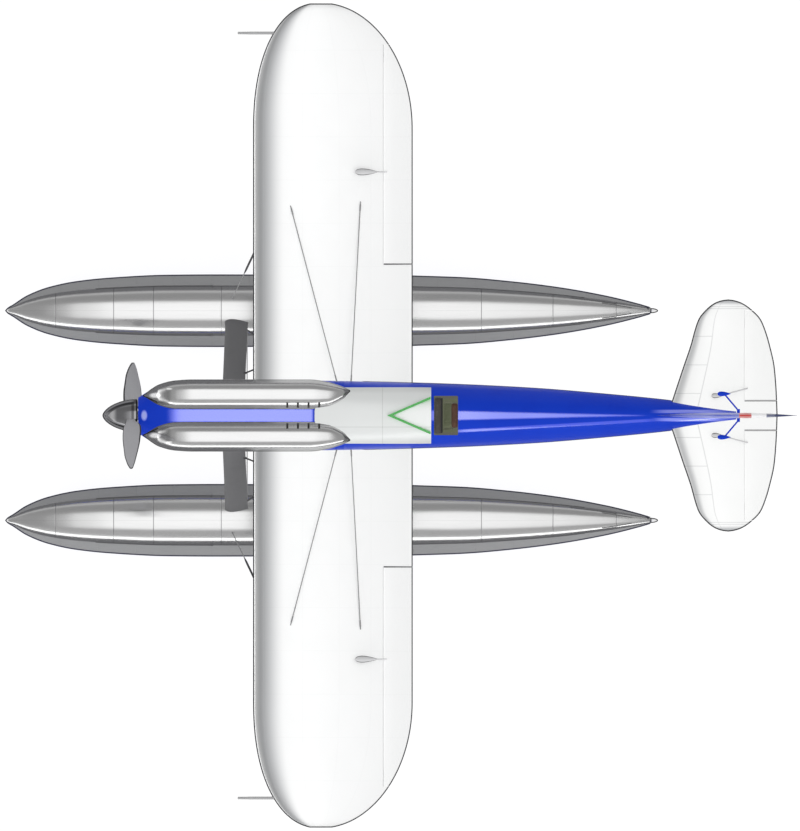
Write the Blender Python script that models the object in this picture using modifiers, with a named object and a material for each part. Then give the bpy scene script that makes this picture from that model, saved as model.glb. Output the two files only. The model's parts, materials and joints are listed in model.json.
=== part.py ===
"""A racing floatplane at full size: nose towards -X, starboard towards +Y, +Z up.

The origin is on the floor under the middle of the aircraft, which stands on the keels of its two floats.
"""

import math

import bmesh
import bpy
import numpy as np
from mathutils import Matrix, Vector

COLLECTION = "racing_floatplane"
SIDES = {"port": -1, "starboard": 1}
TOUCH = 0.0003
HINGE_GAP = 0.006

NOSE_X = -4.400
TAIL_X = 4.400
HALF_SPAN = 4.572
THRUST_Z = 2.280

COWL_FRONT_X = -2.903
DECK_LIP_X = -0.940
FIREWALL_X = -0.620
DECK_END_X = 0.345
CENTRE_END_X = 0.690
STERN_X = 3.725
DECK_BASE_Z = 2.600
SKIN = 0.020

# Fuselage sections: x, half width, bottom, widest height, top, power of the lower and of the upper half.
BODY = (
    (-2.903, 0.198, 2.082, 2.280, 2.478, 2.0, 2.0),
    (-2.755, 0.285, 1.960, 2.265, 2.500, 2.2, 2.4),
    (-2.420, 0.375, 1.845, 2.215, 2.540, 2.4, 3.2),
    (-1.667, 0.392, 1.760, 2.180, 2.640, 2.5, 3.2),
    (-0.940, 0.388, 1.738, 2.190, 2.710, 2.5, 2.9),
    (-0.200, 0.372, 1.745, 2.230, 2.775, 2.5, 2.6),
    (0.345, 0.356, 1.775, 2.270, 2.835, 2.5, 2.4),
    (0.689, 0.344, 1.805, 2.290, 2.885, 2.5, 2.2),
    (1.490, 0.303, 1.880, 2.310, 2.820, 2.4, 2.1),
    (2.289, 0.238, 1.960, 2.325, 2.720, 2.3, 2.0),
    (2.955, 0.172, 2.030, 2.320, 2.620, 2.2, 2.0),
    (3.755, 0.063, 2.090, 2.300, 2.510, 2.2, 2.0),
)
# The floor of the trough between the cylinder banks: x, height.
TROUGH = (
    (-2.903, 2.478),
    (-2.755, 2.500),
    (-2.300, 2.545),
    (-1.500, 2.560),
    (-0.500, 2.560),
)
# Cylinder bank fairings: x, inner edge, outer edge, middle height, half height.
BANK = (
    (-2.852, 0.213, 0.223, 2.450, 0.008),
    (-2.810, 0.194, 0.254, 2.470, 0.045),
    (-2.755, 0.160, 0.296, 2.500, 0.095),
    (-2.667, 0.113, 0.346, 2.545, 0.150),
    (-2.500, 0.074, 0.388, 2.595, 0.193),
    (-2.300, 0.070, 0.400, 2.610, 0.205),
    (-1.000, 0.070, 0.400, 2.615, 0.205),
    (-0.800, 0.090, 0.372, 2.620, 0.190),
    (-0.640, 0.170, 0.322, 2.640, 0.130),
    (-0.552, 0.262, 0.282, 2.650, 0.020),
)
BANK_POWER = 2.4
# Breather slots near the inner edge of each fairing: their x, their near and far y, width and floor height.
SLOT_X = np.linspace(-1.248, -0.895, 4)
SLOT_REACH = (0.084, 0.146)
SLOT_WIDTH = 0.018
SLOT_FLOOR_Z = 2.700
ENGINE = ((-2.500, -0.230, 1.970), (FIREWALL_X - TOUCH, 0.230, 2.430))
INTAKE = ((-1.100, -0.062, 2.615), (-0.720, 0.062, 2.690))
# Cutters that run on past everything end here.
OUTSIDE_Y = 1.000
OUTSIDE_Z = 3.500

# Cockpit: the opening in the deck and the tub under it.
COCKPIT_FRONT_X = 0.376
COCKPIT_REAR_X = 0.643
COCKPIT_HALF_WIDTH = 0.218
TUB = ((-0.300, -0.240, 1.960), (0.670, 0.240, 2.580))
HOOD_REAR_X = 0.461
HOOD_HALF_WIDTH = 0.200
HOOD_Z = (TUB[1][2] + 0.001, 2.765)
PANEL = ((0.380, -0.195, 2.320), (0.395, 0.195, TUB[1][2] - TOUCH))
LINING_FRONT_X = 0.400
LINING_HALF_ROOM = 0.186
LINING_FLOOR = 0.020
SEAT_FRONT_X = 0.490
SEAT_BACK_X = 0.575
SEAT_REAR_X = 0.636
SEAT_HALF_WIDTH = 0.165
SEAT_PAN_Z = 2.240
SEAT_BACK_FOOT_Z = 2.100
SEAT_BACK_HALF_WIDTH = 0.134
SEAT_BACK_TOP_Z = 2.700
STICK_X = 0.200
STICK_LEAN = 0.030
STICK_TOP_Z = 2.250
STICK_RADIUS = 0.014
HOOD_ROUNDING = 0.020

# Windscreen: x of the apex, x and y of the rear ends.
WINDSCREEN = (-0.110, 0.338, 0.196)
WINDSCREEN_FOOT_Z = 2.812
WINDSCREEN_TOP_Z = 2.935
WINDSCREEN_STRIP = 0.024
WINDSCREEN_PANE = 0.014
WINDSCREEN_APEX_RISE = 0.020

# Wings
EDGE_HALF_THICKNESS = 0.0012
WING_Z = 1.870
DIHEDRAL = math.radians(2.0)
WING_LEAD_X = -1.631
WING_TRAIL_X = 0.141
WING_TIP_X = -0.883
WING_TIP_START = 3.183
WING_TIP_REACH = 1.400
WING_THICKNESS = 0.115
AILERON_HINGE_X = -0.178
AILERON_SPAN = (1.681, 4.111)
# Weight on its arm: x and y of its middle, its height above the wing; then the arm's foot and knee x, knee height.
AILERON_WEIGHT = (-0.367, 2.702, 0.226)
AILERON_WEIGHT_SIZE = (0.264, 0.038)
ARM_RADIUS = 0.007
ARM_FOOT_Z = 0.010
AILERON_ARM = (-0.146, -0.166, 0.110)

# Pitot tubes: y, tip x, where the nose is full, where it ends in the wing, radii of the tip and the tube.
PITOT_Y = 4.244
PITOT_X = (-1.801, -1.799, -1.700, -1.250)
PITOT_RADII = (0.008, 0.013)

# Tailplane, elevators, fin and rudder
TAIL_Z = 2.420
TAIL_OUTLINE = (
    (0.000, 2.960, 4.186),
    (0.222, 3.033, 4.178),
    (0.524, 3.133, 4.155),
    (0.787, 3.222, 4.099),
    (0.955, 3.268, 4.048),
    (1.073, 3.311, 3.995),
    (1.182, 3.400, 3.889),
    (1.249, 3.489, 3.789),
    (1.280, 3.578, 3.695),
    (1.2868, 3.637, 3.641),
)
TAIL_THICKNESS = 0.090
ELEVATOR_HINGE_X = 3.822
ELEVATOR_SPAN = (0.164, 1.161)
ELEVATOR_WEIGHT = (3.515, 0.220, 0.215)
ELEVATOR_WEIGHT_SIZE = (0.130, 0.027)
ELEVATOR_ARM = (3.850, 0.300, 3.822, 0.293, 0.110)
RUDDER_HINGE_X = 3.752
RUDDER_FOOT_Z = 2.555
FIN_TOP_Z = 3.240
FIN_FOOT_X = 2.744
FIN_HALF_THICKNESS = 0.031
RUDDER_HORN_Z = 2.820
RUDDER_WEIGHT = (3.590, 0.240)
RUDDER_WEIGHT_SIZE = (0.150, 0.027)
RUDDER_HORN_SIZE = ((-0.022, 0.012), 0.072, 0.012)
RUDDER_HORN_CLEARANCE = 0.008

# Floats: x, half beam, keel, chine, deck edge, deck top, all measured from the floor.
FLOAT_Y = 1.168
STEP_X = 0.150
FLOAT = (
    (-4.400, 0.001, 0.469, 0.470, 0.471, 0.472),
    (-4.375, 0.030, 0.440, 0.465, 0.482, 0.498),
    (-4.311, 0.070, 0.395, 0.450, 0.498, 0.535),
    (-4.155, 0.170, 0.300, 0.415, 0.525, 0.610),
    (-3.922, 0.262, 0.195, 0.370, 0.555, 0.685),
    (-3.611, 0.329, 0.100, 0.325, 0.580, 0.745),
    (-3.222, 0.370, 0.038, 0.285, 0.595, 0.780),
    (-2.600, 0.401, 0.004, 0.255, 0.600, 0.797),
    (-2.050, 0.405, 0.000, 0.250, 0.600, 0.800),
    (0.150, 0.393, 0.000, 0.250, 0.595, 0.790),
)
FLOAT_AFTERBODY = (
    (0.150, 0.393, 0.070, 0.285, 0.595, 0.790),
    (0.700, 0.374, 0.142, 0.320, 0.587, 0.765),
    (1.233, 0.329, 0.212, 0.355, 0.577, 0.735),
    (1.767, 0.263, 0.282, 0.390, 0.563, 0.695),
    (2.300, 0.167, 0.352, 0.430, 0.545, 0.640),
    (2.655, 0.080, 0.405, 0.460, 0.530, 0.585),
    (2.790, 0.040, 0.440, 0.475, 0.517, 0.547),
)
DECK_EDGE_SHARE = 0.685
STERN_CAP_LENGTH = 0.085
STERN_CAP_RADIUS = 0.029
STERN_CAP_Z = 0.493

# Float struts: x and y of the middle of the chord at the fuselage and at the float, and their heights.
FRONT_STRUT = ((-1.828, 0.270, 1.960), (-1.818, 1.085, 0.700), 0.250, 0.072)
REAR_STRUT = ((-0.744, 0.200, 1.870), (-0.211, 1.075, 0.690), 0.220, 0.066)

# Propeller
PROP_RADIUS = 1.450
PROP_X = -2.967
PROP_PITCH = 6.000
# Blade sections: distance from the hub, chord, thickness, how far the middle lies behind the hub's.
BLADE = (
    (0.000, 0.110, 0.080, -0.012),
    (0.200, 0.126, 0.070, -0.014),
    (0.290, 0.185, 0.062, -0.008),
    (0.420, 0.222, 0.050, -0.003),
    (0.600, 0.240, 0.036, 0.000),
    (0.900, 0.240, 0.024, 0.004),
    (1.100, 0.208, 0.019, 0.007),
    (1.250, 0.160, 0.015, 0.009),
    (1.380, 0.098, 0.011, 0.011),
    (1.450, 0.030, 0.007, 0.012),
)
PROP_LEAN = math.radians(23.5)
SPINNER_TIP_X = -3.300
SPINNER_BASE_X = -2.915
SPINNER_RADIUS = 0.184
SHAFT_RADIUS = 0.050
SHAFT_END_X = -2.706
SHAFT_HOLE_X = (-3.100, -2.600)
SHAFT_HOLE_RADIUS = 0.062


def clear_scene():
    for old in list(bpy.data.objects):
        bpy.data.objects.remove(old)


def collection(name):
    made = bpy.data.collections.new(name)
    bpy.context.scene.collection.children.link(made)
    return made


def material(name, colour, roughness, metallic):
    made = bpy.data.materials.new(name)
    made.use_nodes = True
    shader = made.node_tree.nodes["Principled BSDF"]
    shader.inputs["Base Color"].default_value = (*colour, 1.0)
    shader.inputs["Roughness"].default_value = roughness
    shader.inputs["Metallic"].default_value = metallic
    made.diffuse_color = (*colour, 1.0)
    return made


clear_scene()
PARTS = collection(COLLECTION)
CUTTERS = collection("cutters")

BLUE = material("blue_paint", (0.010, 0.045, 0.520), 0.25, 0.0)
SILVER = material("polished_alloy", (0.700, 0.710, 0.720), 0.22, 1.0)
WHITE = material("white_paint", (0.900, 0.910, 0.910), 0.35, 0.0)
STRUT_GREY = material("strut_grey", (0.130, 0.130, 0.135), 0.45, 0.3)
PROP_GREY = material("blade_alloy", (0.250, 0.250, 0.265), 0.35, 0.9)
DARK_STEEL = material("dark_steel", (0.080, 0.080, 0.085), 0.45, 0.9)
GREEN = material("green_glass", (0.060, 0.420, 0.100), 0.15, 0.0)
LEATHER = material("brown_leather", (0.130, 0.045, 0.020), 0.60, 0.0)
OLIVE = material("olive_paint", (0.060, 0.060, 0.030), 0.60, 0.0)
IRON = material("engine_black", (0.040, 0.040, 0.042), 0.55, 0.5)


def finish(name, mesh, paint, home=PARTS, smooth_angle=35.0):
    """The object of a mesh, at the origin, with one material."""
    mesh.shade_smooth()
    mesh.set_sharp_from_angle(angle=math.radians(smooth_angle))
    made = bpy.data.objects.new(name, mesh)
    made.data.materials.append(paint)
    home.objects.link(made)
    if home is CUTTERS:
        made.hide_render = True
        made.display_type = "WIRE"
    return made


def solid(name, shape, paint, home=PARTS):
    """The object of a bmesh: doubles welded and the faces turned outwards."""
    bmesh.ops.remove_doubles(shape, verts=shape.verts, dist=1e-6)
    bmesh.ops.recalc_face_normals(shape, faces=shape.faces)
    mesh = bpy.data.meshes.new(name)
    shape.to_mesh(mesh)
    shape.free()
    return finish(name, mesh, paint, home)


def loft(name, rings, paint, home=PARTS):
    """A closed solid through rings of equal length, with a flat cap on the first and on the last."""
    shape = bmesh.new()
    rows = [[shape.verts.new(tuple(point)) for point in ring] for ring in rings]
    count = len(rows[0])
    for row, following in zip(rows, rows[1:]):
        for i in range(count):
            j = (i + 1) % count
            shape.faces.new((row[i], row[j], following[j]))
            shape.faces.new((row[i], following[j], following[i]))
    shape.faces.new(rows[0])
    shape.faces.new(rows[-1])
    return solid(name, shape, paint, home)


def box(name, low, high, paint, home=PARTS):
    shape = bmesh.new()
    bmesh.ops.create_cube(shape, size=1.0)
    size = Vector(high) - Vector(low)
    middle = (Vector(high) + Vector(low)) / 2
    bmesh.ops.transform(
        shape,
        matrix=Matrix.Translation(middle) @ Matrix.Diagonal((*size, 1.0)),
        verts=shape.verts,
    )
    return solid(name, shape, paint, home)


def hang(piece, at):
    """Puts a moving piece's origin on its joint's axis, with its shape left where it is."""
    piece.data.transform(Matrix.Translation(-Vector(at)))
    piece.location = at


def turned(name, profile, paint, axis=(1.0, 0.0, 0.0), at=(0.0, 0.0, 0.0), steps=24, home=PARTS):
    """A profile of (distance along the axis, radius), from its near end to its far end, turned about the axis."""
    mesh = bpy.data.meshes.new(name)
    points = [(radius, 0.0, along) for along, radius in reversed(profile)]
    edges = [(i, i + 1) for i in range(len(points) - 1)]
    mesh.from_pydata(points, edges, [])
    made = bpy.data.objects.new(name, mesh)
    made.data.materials.append(paint)
    home.objects.link(made)
    made.rotation_mode = "QUATERNION"
    made.rotation_quaternion = Vector((0.0, 0.0, 1.0)).rotation_difference(Vector(axis))
    made.location = at
    screw = made.modifiers.new("turn", "SCREW")
    screw.steps = steps
    screw.render_steps = steps
    screw.use_merge_vertices = True
    screw.merge_threshold = 1e-5
    if home is CUTTERS:
        made.hide_render = True
        made.display_type = "WIRE"
    return made


def tube(name, points, radius, paint, home=PARTS, resolution=2):
    """A round bar along straight runs between points, as a mesh with welded caps."""
    curve = bpy.data.curves.new(name, "CURVE")
    curve.dimensions = "3D"
    curve.bevel_depth = radius
    curve.bevel_resolution = resolution
    curve.use_fill_caps = True
    line = curve.splines.new("POLY")
    line.points.add(len(points) - 1)
    for place, point in zip(line.points, points):
        place.co = (*point, 1.0)
    drawn = bpy.data.objects.new(name + "_curve", curve)
    CUTTERS.objects.link(drawn)
    graph = bpy.context.evaluated_depsgraph_get()
    mesh = bpy.data.meshes.new_from_object(drawn.evaluated_get(graph))
    bpy.data.objects.remove(drawn)
    shape = bmesh.new()
    shape.from_mesh(mesh)
    bpy.data.meshes.remove(mesh)
    return solid(name, shape, paint, home)


def boolean(target, operation, others):
    for other in others:
        step = target.modifiers.new(other.name, "BOOLEAN")
        step.operation = operation
        step.solver = "EXACT"
        step.object = other


def cut(target, *others):
    boolean(target, "DIFFERENCE", others)


def join(target, *others):
    boolean(target, "UNION", others)


def keep_inside(target, *others):
    boolean(target, "INTERSECT", others)


def smooth(table, x):
    """The columns of a table at x: a cubic between rows whose slopes never overshoot them."""
    rows = np.array(table, float)
    xs, values = rows[:, 0], rows[:, 1:]
    steps = np.diff(xs)[:, None]
    chords = np.diff(values, axis=0) / steps
    before, after = chords[:-1], chords[1:]
    same_way = before * after > 0
    total = np.where(same_way, before + after, 1.0)
    slopes = np.vstack([chords[:1], np.where(same_way, 2 * before * after / total, 0.0), chords[-1:]])
    i = int(np.clip(np.searchsorted(xs, x) - 1, 0, len(xs) - 2))
    t = float(np.clip((x - xs[i]) / (xs[i + 1] - xs[i]), 0.0, 1.0))
    start = (1 + 2 * t) * (1 - t) ** 2 * values[i] + t * (1 - t) ** 2 * steps[i] * slopes[i]
    end = t**2 * (3 - 2 * t) * values[i + 1] - t**2 * (1 - t) * steps[i] * slopes[i + 1]
    return start + end


def oval(half_width, bottom, middle, top, low_power=2.0, high_power=2.0, count=32):
    """A closed ring of (y, z): a superellipse whose lower and upper halves differ in depth and power."""
    angle = np.linspace(0.0, 2 * math.pi, count, endpoint=False)
    across, up = np.cos(angle), np.sin(angle)
    power = np.where(up < 0, low_power, high_power)
    y = half_width * np.sign(across) * np.abs(across) ** (2 / power)
    rise = np.where(up < 0, middle - bottom, top - middle)
    z = middle + rise * np.sign(up) * np.abs(up) ** (2 / power)
    return np.column_stack([y, z])


def body_ring(x, grow=0.0, trough=False, count=32):
    """The fuselage's section at x, made larger all round by grow."""
    half_width, bottom, middle, top, low_power, high_power = smooth(BODY, x)
    if trough:
        top = smooth(TROUGH, x)[0]
    ring = oval(half_width + grow, bottom - grow, middle, top + grow, low_power, high_power, count)
    return np.column_stack([np.full(len(ring), x), ring])


# Every solid and cutter along the fuselage shares these stations, so that their faces stay parallel.
BODY_STATIONS = np.concatenate([
    np.linspace(DECK_LIP_X, FIREWALL_X, 3),
    np.linspace(FIREWALL_X, DECK_END_X, 8)[1:],
    np.linspace(DECK_END_X, CENTRE_END_X, 4)[1:],
    np.linspace(CENTRE_END_X, STERN_X, 12)[1:],
])


def body_rings(start, end, grow=0.0):
    between = [x for x in BODY_STATIONS if start + 0.001 < x < end - 0.001]
    return [body_ring(x, grow) for x in (start, *between, end)]


def body(name, start, end, paint, home=PARTS, grow=0.0):
    return loft(name, body_rings(start, end, grow), paint, home)


NOSE_STATIONS = (-2.903, -2.860, -2.810, -2.755, -2.680, -2.590, -2.480, -2.340, -2.150, -1.850, -1.400, DECK_LIP_X)


def cowl(name, paint, home, grow=0.0, end=FIREWALL_X):
    """The engine cowl: trough-topped up to the deck's lip, and full-topped behind it."""
    rings = [body_ring(x, grow, trough=True) for x in NOSE_STATIONS]
    rings += body_rings(DECK_LIP_X, end, grow)
    return loft(name, rings, paint, home)


def make_fuselage():
    """The cowl with its engine, the centre part with its cockpit, the white deck and the tail cone."""
    deck_slot = box("deck_slot", (COWL_FRONT_X, -OUTSIDE_Y, DECK_BASE_Z - TOUCH),
                    (DECK_END_X + TOUCH / 2, OUTSIDE_Y, OUTSIDE_Z), BLUE, CUTTERS)
    hull = cowl("lower_cowl", BLUE, PARTS)
    inner_stations = (-2.780, -2.680, -2.560, -2.400, -2.150, -1.750, -1.250, DECK_LIP_X, FIREWALL_X + 0.1)
    inner = loft("cowl_inner", [body_ring(x, -SKIN, True, 20) for x in inner_stations], BLUE, CUTTERS)
    start, end = SHAFT_HOLE_X
    bore = [(start, 0.0), (start, SHAFT_HOLE_RADIUS), (end, SHAFT_HOLE_RADIUS), (end, 0.0)]
    shaft_hole = turned("shaft_hole", bore, BLUE, at=(0.0, 0.0, THRUST_Z), home=CUTTERS)
    cut(hull, inner, shaft_hole, deck_slot)
    box("engine_block", *ENGINE, IRON)

    centre = body("fuselage_centre", FIREWALL_X + TOUCH, CENTRE_END_X - TOUCH, BLUE)
    opening = box("cockpit_opening", (COCKPIT_FRONT_X, -COCKPIT_HALF_WIDTH, THRUST_Z),
                  (COCKPIT_REAR_X, COCKPIT_HALF_WIDTH, OUTSIDE_Z), BLUE, CUTTERS)
    tub = box("cockpit_tub", *TUB, BLUE, CUTTERS)
    cut(centre, deck_slot, opening, tub)

    deck = body("header_deck", DECK_LIP_X, DECK_END_X - TOUCH, WHITE)
    above_base = box("deck_keep", (COWL_FRONT_X, -OUTSIDE_Y, DECK_BASE_Z + TOUCH),
                     (CENTRE_END_X, OUTSIDE_Y, OUTSIDE_Z), WHITE, CUTTERS)
    keep_inside(deck, above_base)
    mouth = box("intake_mouth", *INTAKE, WHITE, CUTTERS)
    cut(deck, mouth)

    body("tail_cone", CENTRE_END_X + TOUCH, STERN_X, BLUE)


def make_envelopes():
    """Copies of the outer forms, larger by the touching gap, that cut what stands on them."""
    made = {
        "cowl": cowl("cowl_envelope", BLUE, CUTTERS, TOUCH),
        "body": body("body_envelope", DECK_LIP_X - TOUCH, STERN_X, BLUE, CUTTERS, TOUCH),
    }
    for side, sign in SIDES.items():
        made["float_" + side] = float_hull("float_envelope_" + side, sign, CUTTERS, TOUCH)
        made["wing_" + side] = panel_solid("wing_envelope_" + side, WING, sign, wing_spans(), WHITE, CUTTERS, TOUCH)
    return made


def make_banks(envelopes):
    """The two polished fairings over the cylinder banks."""
    for side, sign in SIDES.items():
        rings = []
        for x in (-2.852, -2.810, -2.755, -2.690, -2.600, -2.500, -2.380, -2.200, -1.900, -1.400, -1.000,
                  -0.880, -0.780, -0.700, -0.640, -0.590, -0.552):
            inner, outer, middle, half = smooth(BANK, x)
            ring = oval((outer - inner) / 2, middle - half, middle, middle + half, BANK_POWER, BANK_POWER, 24)
            ring[:, 0] = sign * (ring[:, 0] + (inner + outer) / 2)
            rings.append(np.column_stack([np.full(len(ring), x), ring]))
        bank = loft("bank_fairing_" + side, rings, SILVER)
        cut(bank, envelopes["cowl"], envelopes["body"])
        near, far = sorted((sign * SLOT_REACH[0], sign * SLOT_REACH[1]))
        for i, x in enumerate(SLOT_X):
            cut(bank, box(f"slot_{side}_{i}", (x - SLOT_WIDTH / 2, near, SLOT_FLOOR_Z),
                          (x + SLOT_WIDTH / 2, far, OUTSIDE_Z), DARK_STEEL, CUTTERS))


# Exhaust outlets: their x and height, the strip's inner and outer y, its margin and half height, the stubs' size.
EXHAUST_X = np.linspace(-2.30, -1.10, 6)
EXHAUST_Z = 2.370
EXHAUST_STRIP_Y = (0.300, 0.382)
EXHAUST_STRIP_MARGIN = 0.090
EXHAUST_STRIP_HALF = 0.030
EXHAUST_STUB_RADIUS = 0.022
EXHAUST_STUB_END_Y = 0.396


def make_exhausts(envelopes):
    """A strip on each side of the cowl with one short outlet for each pair of valves."""
    for side, sign in SIDES.items():
        low, high = sorted(sign * y for y in EXHAUST_STRIP_Y)
        strip = box("exhaust_ports_" + side,
                    (EXHAUST_X[0] - EXHAUST_STRIP_MARGIN, low, EXHAUST_Z - EXHAUST_STRIP_HALF),
                    (EXHAUST_X[-1] + EXHAUST_STRIP_MARGIN, high, EXHAUST_Z + EXHAUST_STRIP_HALF), DARK_STEEL)
        start, end = EXHAUST_STRIP_Y[0], EXHAUST_STUB_END_Y
        outline = [(start, 0.0), (start, EXHAUST_STUB_RADIUS), (end, EXHAUST_STUB_RADIUS), (end, 0.0)]
        stubs = []
        for i, x in enumerate(EXHAUST_X):
            stubs.append(turned(f"exhaust_stub_{side}_{i}", outline, DARK_STEEL, axis=(0.0, sign, 0.0),
                                at=(x, 0.0, EXHAUST_Z), steps=12, home=CUTTERS))
        join(strip, *stubs)
        cut(strip, envelopes["cowl"])


def aerofoil(share, ratio):
    """Half thickness at a share of the chord, over the chord: the classic four-digit form with a closed tail."""
    return 5 * ratio * (0.2969 * np.sqrt(share) - 0.1260 * share - 0.3516 * share**2
                        + 0.2843 * share**3 - 0.1036 * share**4)


class Panel:
    """A wing, tailplane or fin: its edges at a span, its half thickness, and where a section point lies."""

    def __init__(self, edges, half_thickness, place):
        self.edges = edges
        self.half_thickness = half_thickness
        self.place = place

    def half_at(self, x, span):
        lead, trail = self.edges(span)
        share = np.clip((x - lead) / max(trail - lead, 1e-9), 0.0, 1.0)
        return self.half_thickness(share, trail - lead)


def wing_edges(span):
    """Straight edges, then a tip whose leading quarter is a little fuller than its trailing one."""
    u = max(0.0, (span - WING_TIP_START) / WING_TIP_REACH)
    lead = WING_TIP_X - (WING_TIP_X - WING_LEAD_X) * (1 - u**2.2) ** (1 / 2.2)
    trail = WING_TIP_X + (WING_TRAIL_X - WING_TIP_X) * (1 - u**2) ** 0.5
    return lead, trail


def wing_height(span):
    return WING_Z + span * math.tan(DIHEDRAL)


def wing_place(x, span, rise, sign):
    """A point of a wing section, which stands square to the line of the span."""
    return x, sign * (span - rise * math.sin(DIHEDRAL)), wing_height(span) + rise * math.cos(DIHEDRAL)


def fin_edges(height):
    """The fin's swept and rounded front and the rudder's rounded back, at a height."""
    up = np.clip((height - 2.50) / (FIN_TOP_Z - 2.50), 0.0, 1.0)
    lead = RUDDER_HINGE_X - (RUDDER_HINGE_X - FIN_FOOT_X) * (1 - up**1.25) ** 0.62
    trail = RUDDER_HINGE_X + (TAIL_X - RUDDER_HINGE_X) * (1 - abs(up - 0.12) ** 2.6 / 0.88**2.6) ** 0.5
    return lead, trail


WING = Panel(
    wing_edges,
    lambda share, chord: aerofoil(share, WING_THICKNESS) * chord,
    wing_place,
)
TAILPLANE = Panel(
    lambda span: tuple(smooth(TAIL_OUTLINE, span)),
    lambda share, chord: aerofoil(share, TAIL_THICKNESS) * chord,
    lambda x, span, rise, sign: (x, sign * span, TAIL_Z + rise),
)
FIN = Panel(
    fin_edges,
    lambda share, chord: 4 * share * (1 - share) * min(FIN_HALF_THICKNESS, 0.024 * chord + 0.002),
    lambda x, span, rise, sign: (x, rise, span),
)


def wing_spans():
    straight = np.linspace(0.150, WING_TIP_START, 4)
    bend = np.sin(np.linspace(0.0, math.pi / 2, 10)[1:])
    return np.concatenate([straight, WING_TIP_START + (HALF_SPAN - WING_TIP_START) * bend])


def panel_ring(panel, span, sign, grow=0.0, count=14):
    """A whole section: trailing edge, upper side, leading edge, lower side."""
    lead, trail = panel.edges(span)
    share = (1 + np.cos(np.linspace(0.0, math.pi, count))) / 2
    half = np.maximum(panel.half_thickness(share, trail - lead), EDGE_HALF_THICKNESS)
    xs = lead + share * (trail - lead) + grow * (2 * share - 1)
    upper = [panel.place(x, span, h + grow, sign) for x, h in zip(xs, half)]
    lower = [panel.place(x, span, -h - grow, sign) for x, h in zip(xs, half)]
    return upper + lower[::-1]


def panel_solid(name, panel, sign, spans, paint, home=PARTS, grow=0.0):
    return loft(name, [panel_ring(panel, span, sign, grow) for span in spans], paint, home)


def flap_ring(panel, hinge_x, span, sign):
    """A moving surface's section: a round nose about the hinge, and the sides back to the trailing edge."""
    trail = panel.edges(span)[1]
    radius = panel.half_at(hinge_x, span)
    xs = np.linspace(trail, hinge_x, 6)
    side = [(x, float(panel.half_at(x, span))) for x in xs]
    nose = [(hinge_x - radius * math.sin(a), radius * math.cos(a)) for a in np.linspace(0, math.pi, 9)[1:-1]]
    outline = side + nose + [(x, -h) for x, h in side[:0:-1]]
    return [panel.place(x, span, h, sign) for x, h in outline]


def flap(name, panel, hinge_x, spans, sign, paint):
    return loft(name, [flap_ring(panel, hinge_x, span, sign) for span in spans], paint)


def flap_bay(name, panel, hinge_x, spans, sign, reach=0.6):
    """The cutter that leaves the hinge gap round a moving surface's nose and clears all behind it."""
    rings = []
    for span in spans:
        radius = float(panel.half_at(hinge_x, span)) + HINGE_GAP
        nose = [(hinge_x - radius * math.sin(a), radius * math.cos(a)) for a in np.linspace(0, math.pi, 13)]
        outline = [(hinge_x, 0.25)] + nose + [(hinge_x, -0.25), (hinge_x + reach, -0.25), (hinge_x + reach, 0.25)]
        rings.append([panel.place(x, span, h, sign) for x, h in outline])
    return loft(name, rings, WHITE, CUTTERS)


def teardrop(name, at, length, radius, paint):
    """A weight with a round nose and a long tail, along X."""
    shares = np.concatenate([[0.0, 0.03, 0.10], np.linspace(0.20, 1.0, 7)])
    profile = [(length * (s - 0.5), radius * float(aerofoil(s, 1.0) / 0.5)) for s in shares]
    profile[0] = (-length / 2, 0.0)
    profile[-1] = (length / 2, 0.0)
    return turned(name, profile, paint, at=at, steps=12, home=CUTTERS)


def make_wings(envelopes):
    """Both wings, their ailerons with the balance weights above, and the pitot tubes."""
    for side, sign in SIDES.items():
        wing = panel_solid("wing_" + side, WING, sign, wing_spans(), WHITE)
        start, end = AILERON_SPAN
        bay = flap_bay("aileron_bay_" + side, WING, AILERON_HINGE_X,
                       np.linspace(start - HINGE_GAP, end + HINGE_GAP, 12), sign)
        cut(wing, envelopes["body"], envelopes["cowl"], bay)
        aileron = flap("aileron_" + side, WING, AILERON_HINGE_X, np.linspace(start, end, 12), sign, WHITE)
        x, y, rise = AILERON_WEIGHT
        top = wing_height(y) + rise
        weight = teardrop("aileron_weight_" + side, (x, sign * y, top), *AILERON_WEIGHT_SIZE, WHITE)
        foot_x, knee_x, knee_rise = AILERON_ARM
        arm = tube("aileron_arm_" + side,
                   [(x + 0.090, sign * y, top),
                    (knee_x, sign * y, wing_height(y) + knee_rise),
                    (foot_x, sign * y, wing_height(y) + ARM_FOOT_Z)],
                   ARM_RADIUS, WHITE, CUTTERS)
        join(aileron, weight, arm)
        hang(aileron, (AILERON_HINGE_X, sign * start, wing_height(start)))
        tip, shoulder, full, end = PITOT_X
        profile = [(tip, 0.0), (shoulder, PITOT_RADII[0]), (full, PITOT_RADII[1]), (end, PITOT_RADII[1]), (end, 0.0)]
        pitot = turned("pitot_" + side, profile, DARK_STEEL, at=(0.0, sign * PITOT_Y, wing_height(PITOT_Y)), steps=10)
        cut(pitot, envelopes["wing_" + side])


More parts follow.
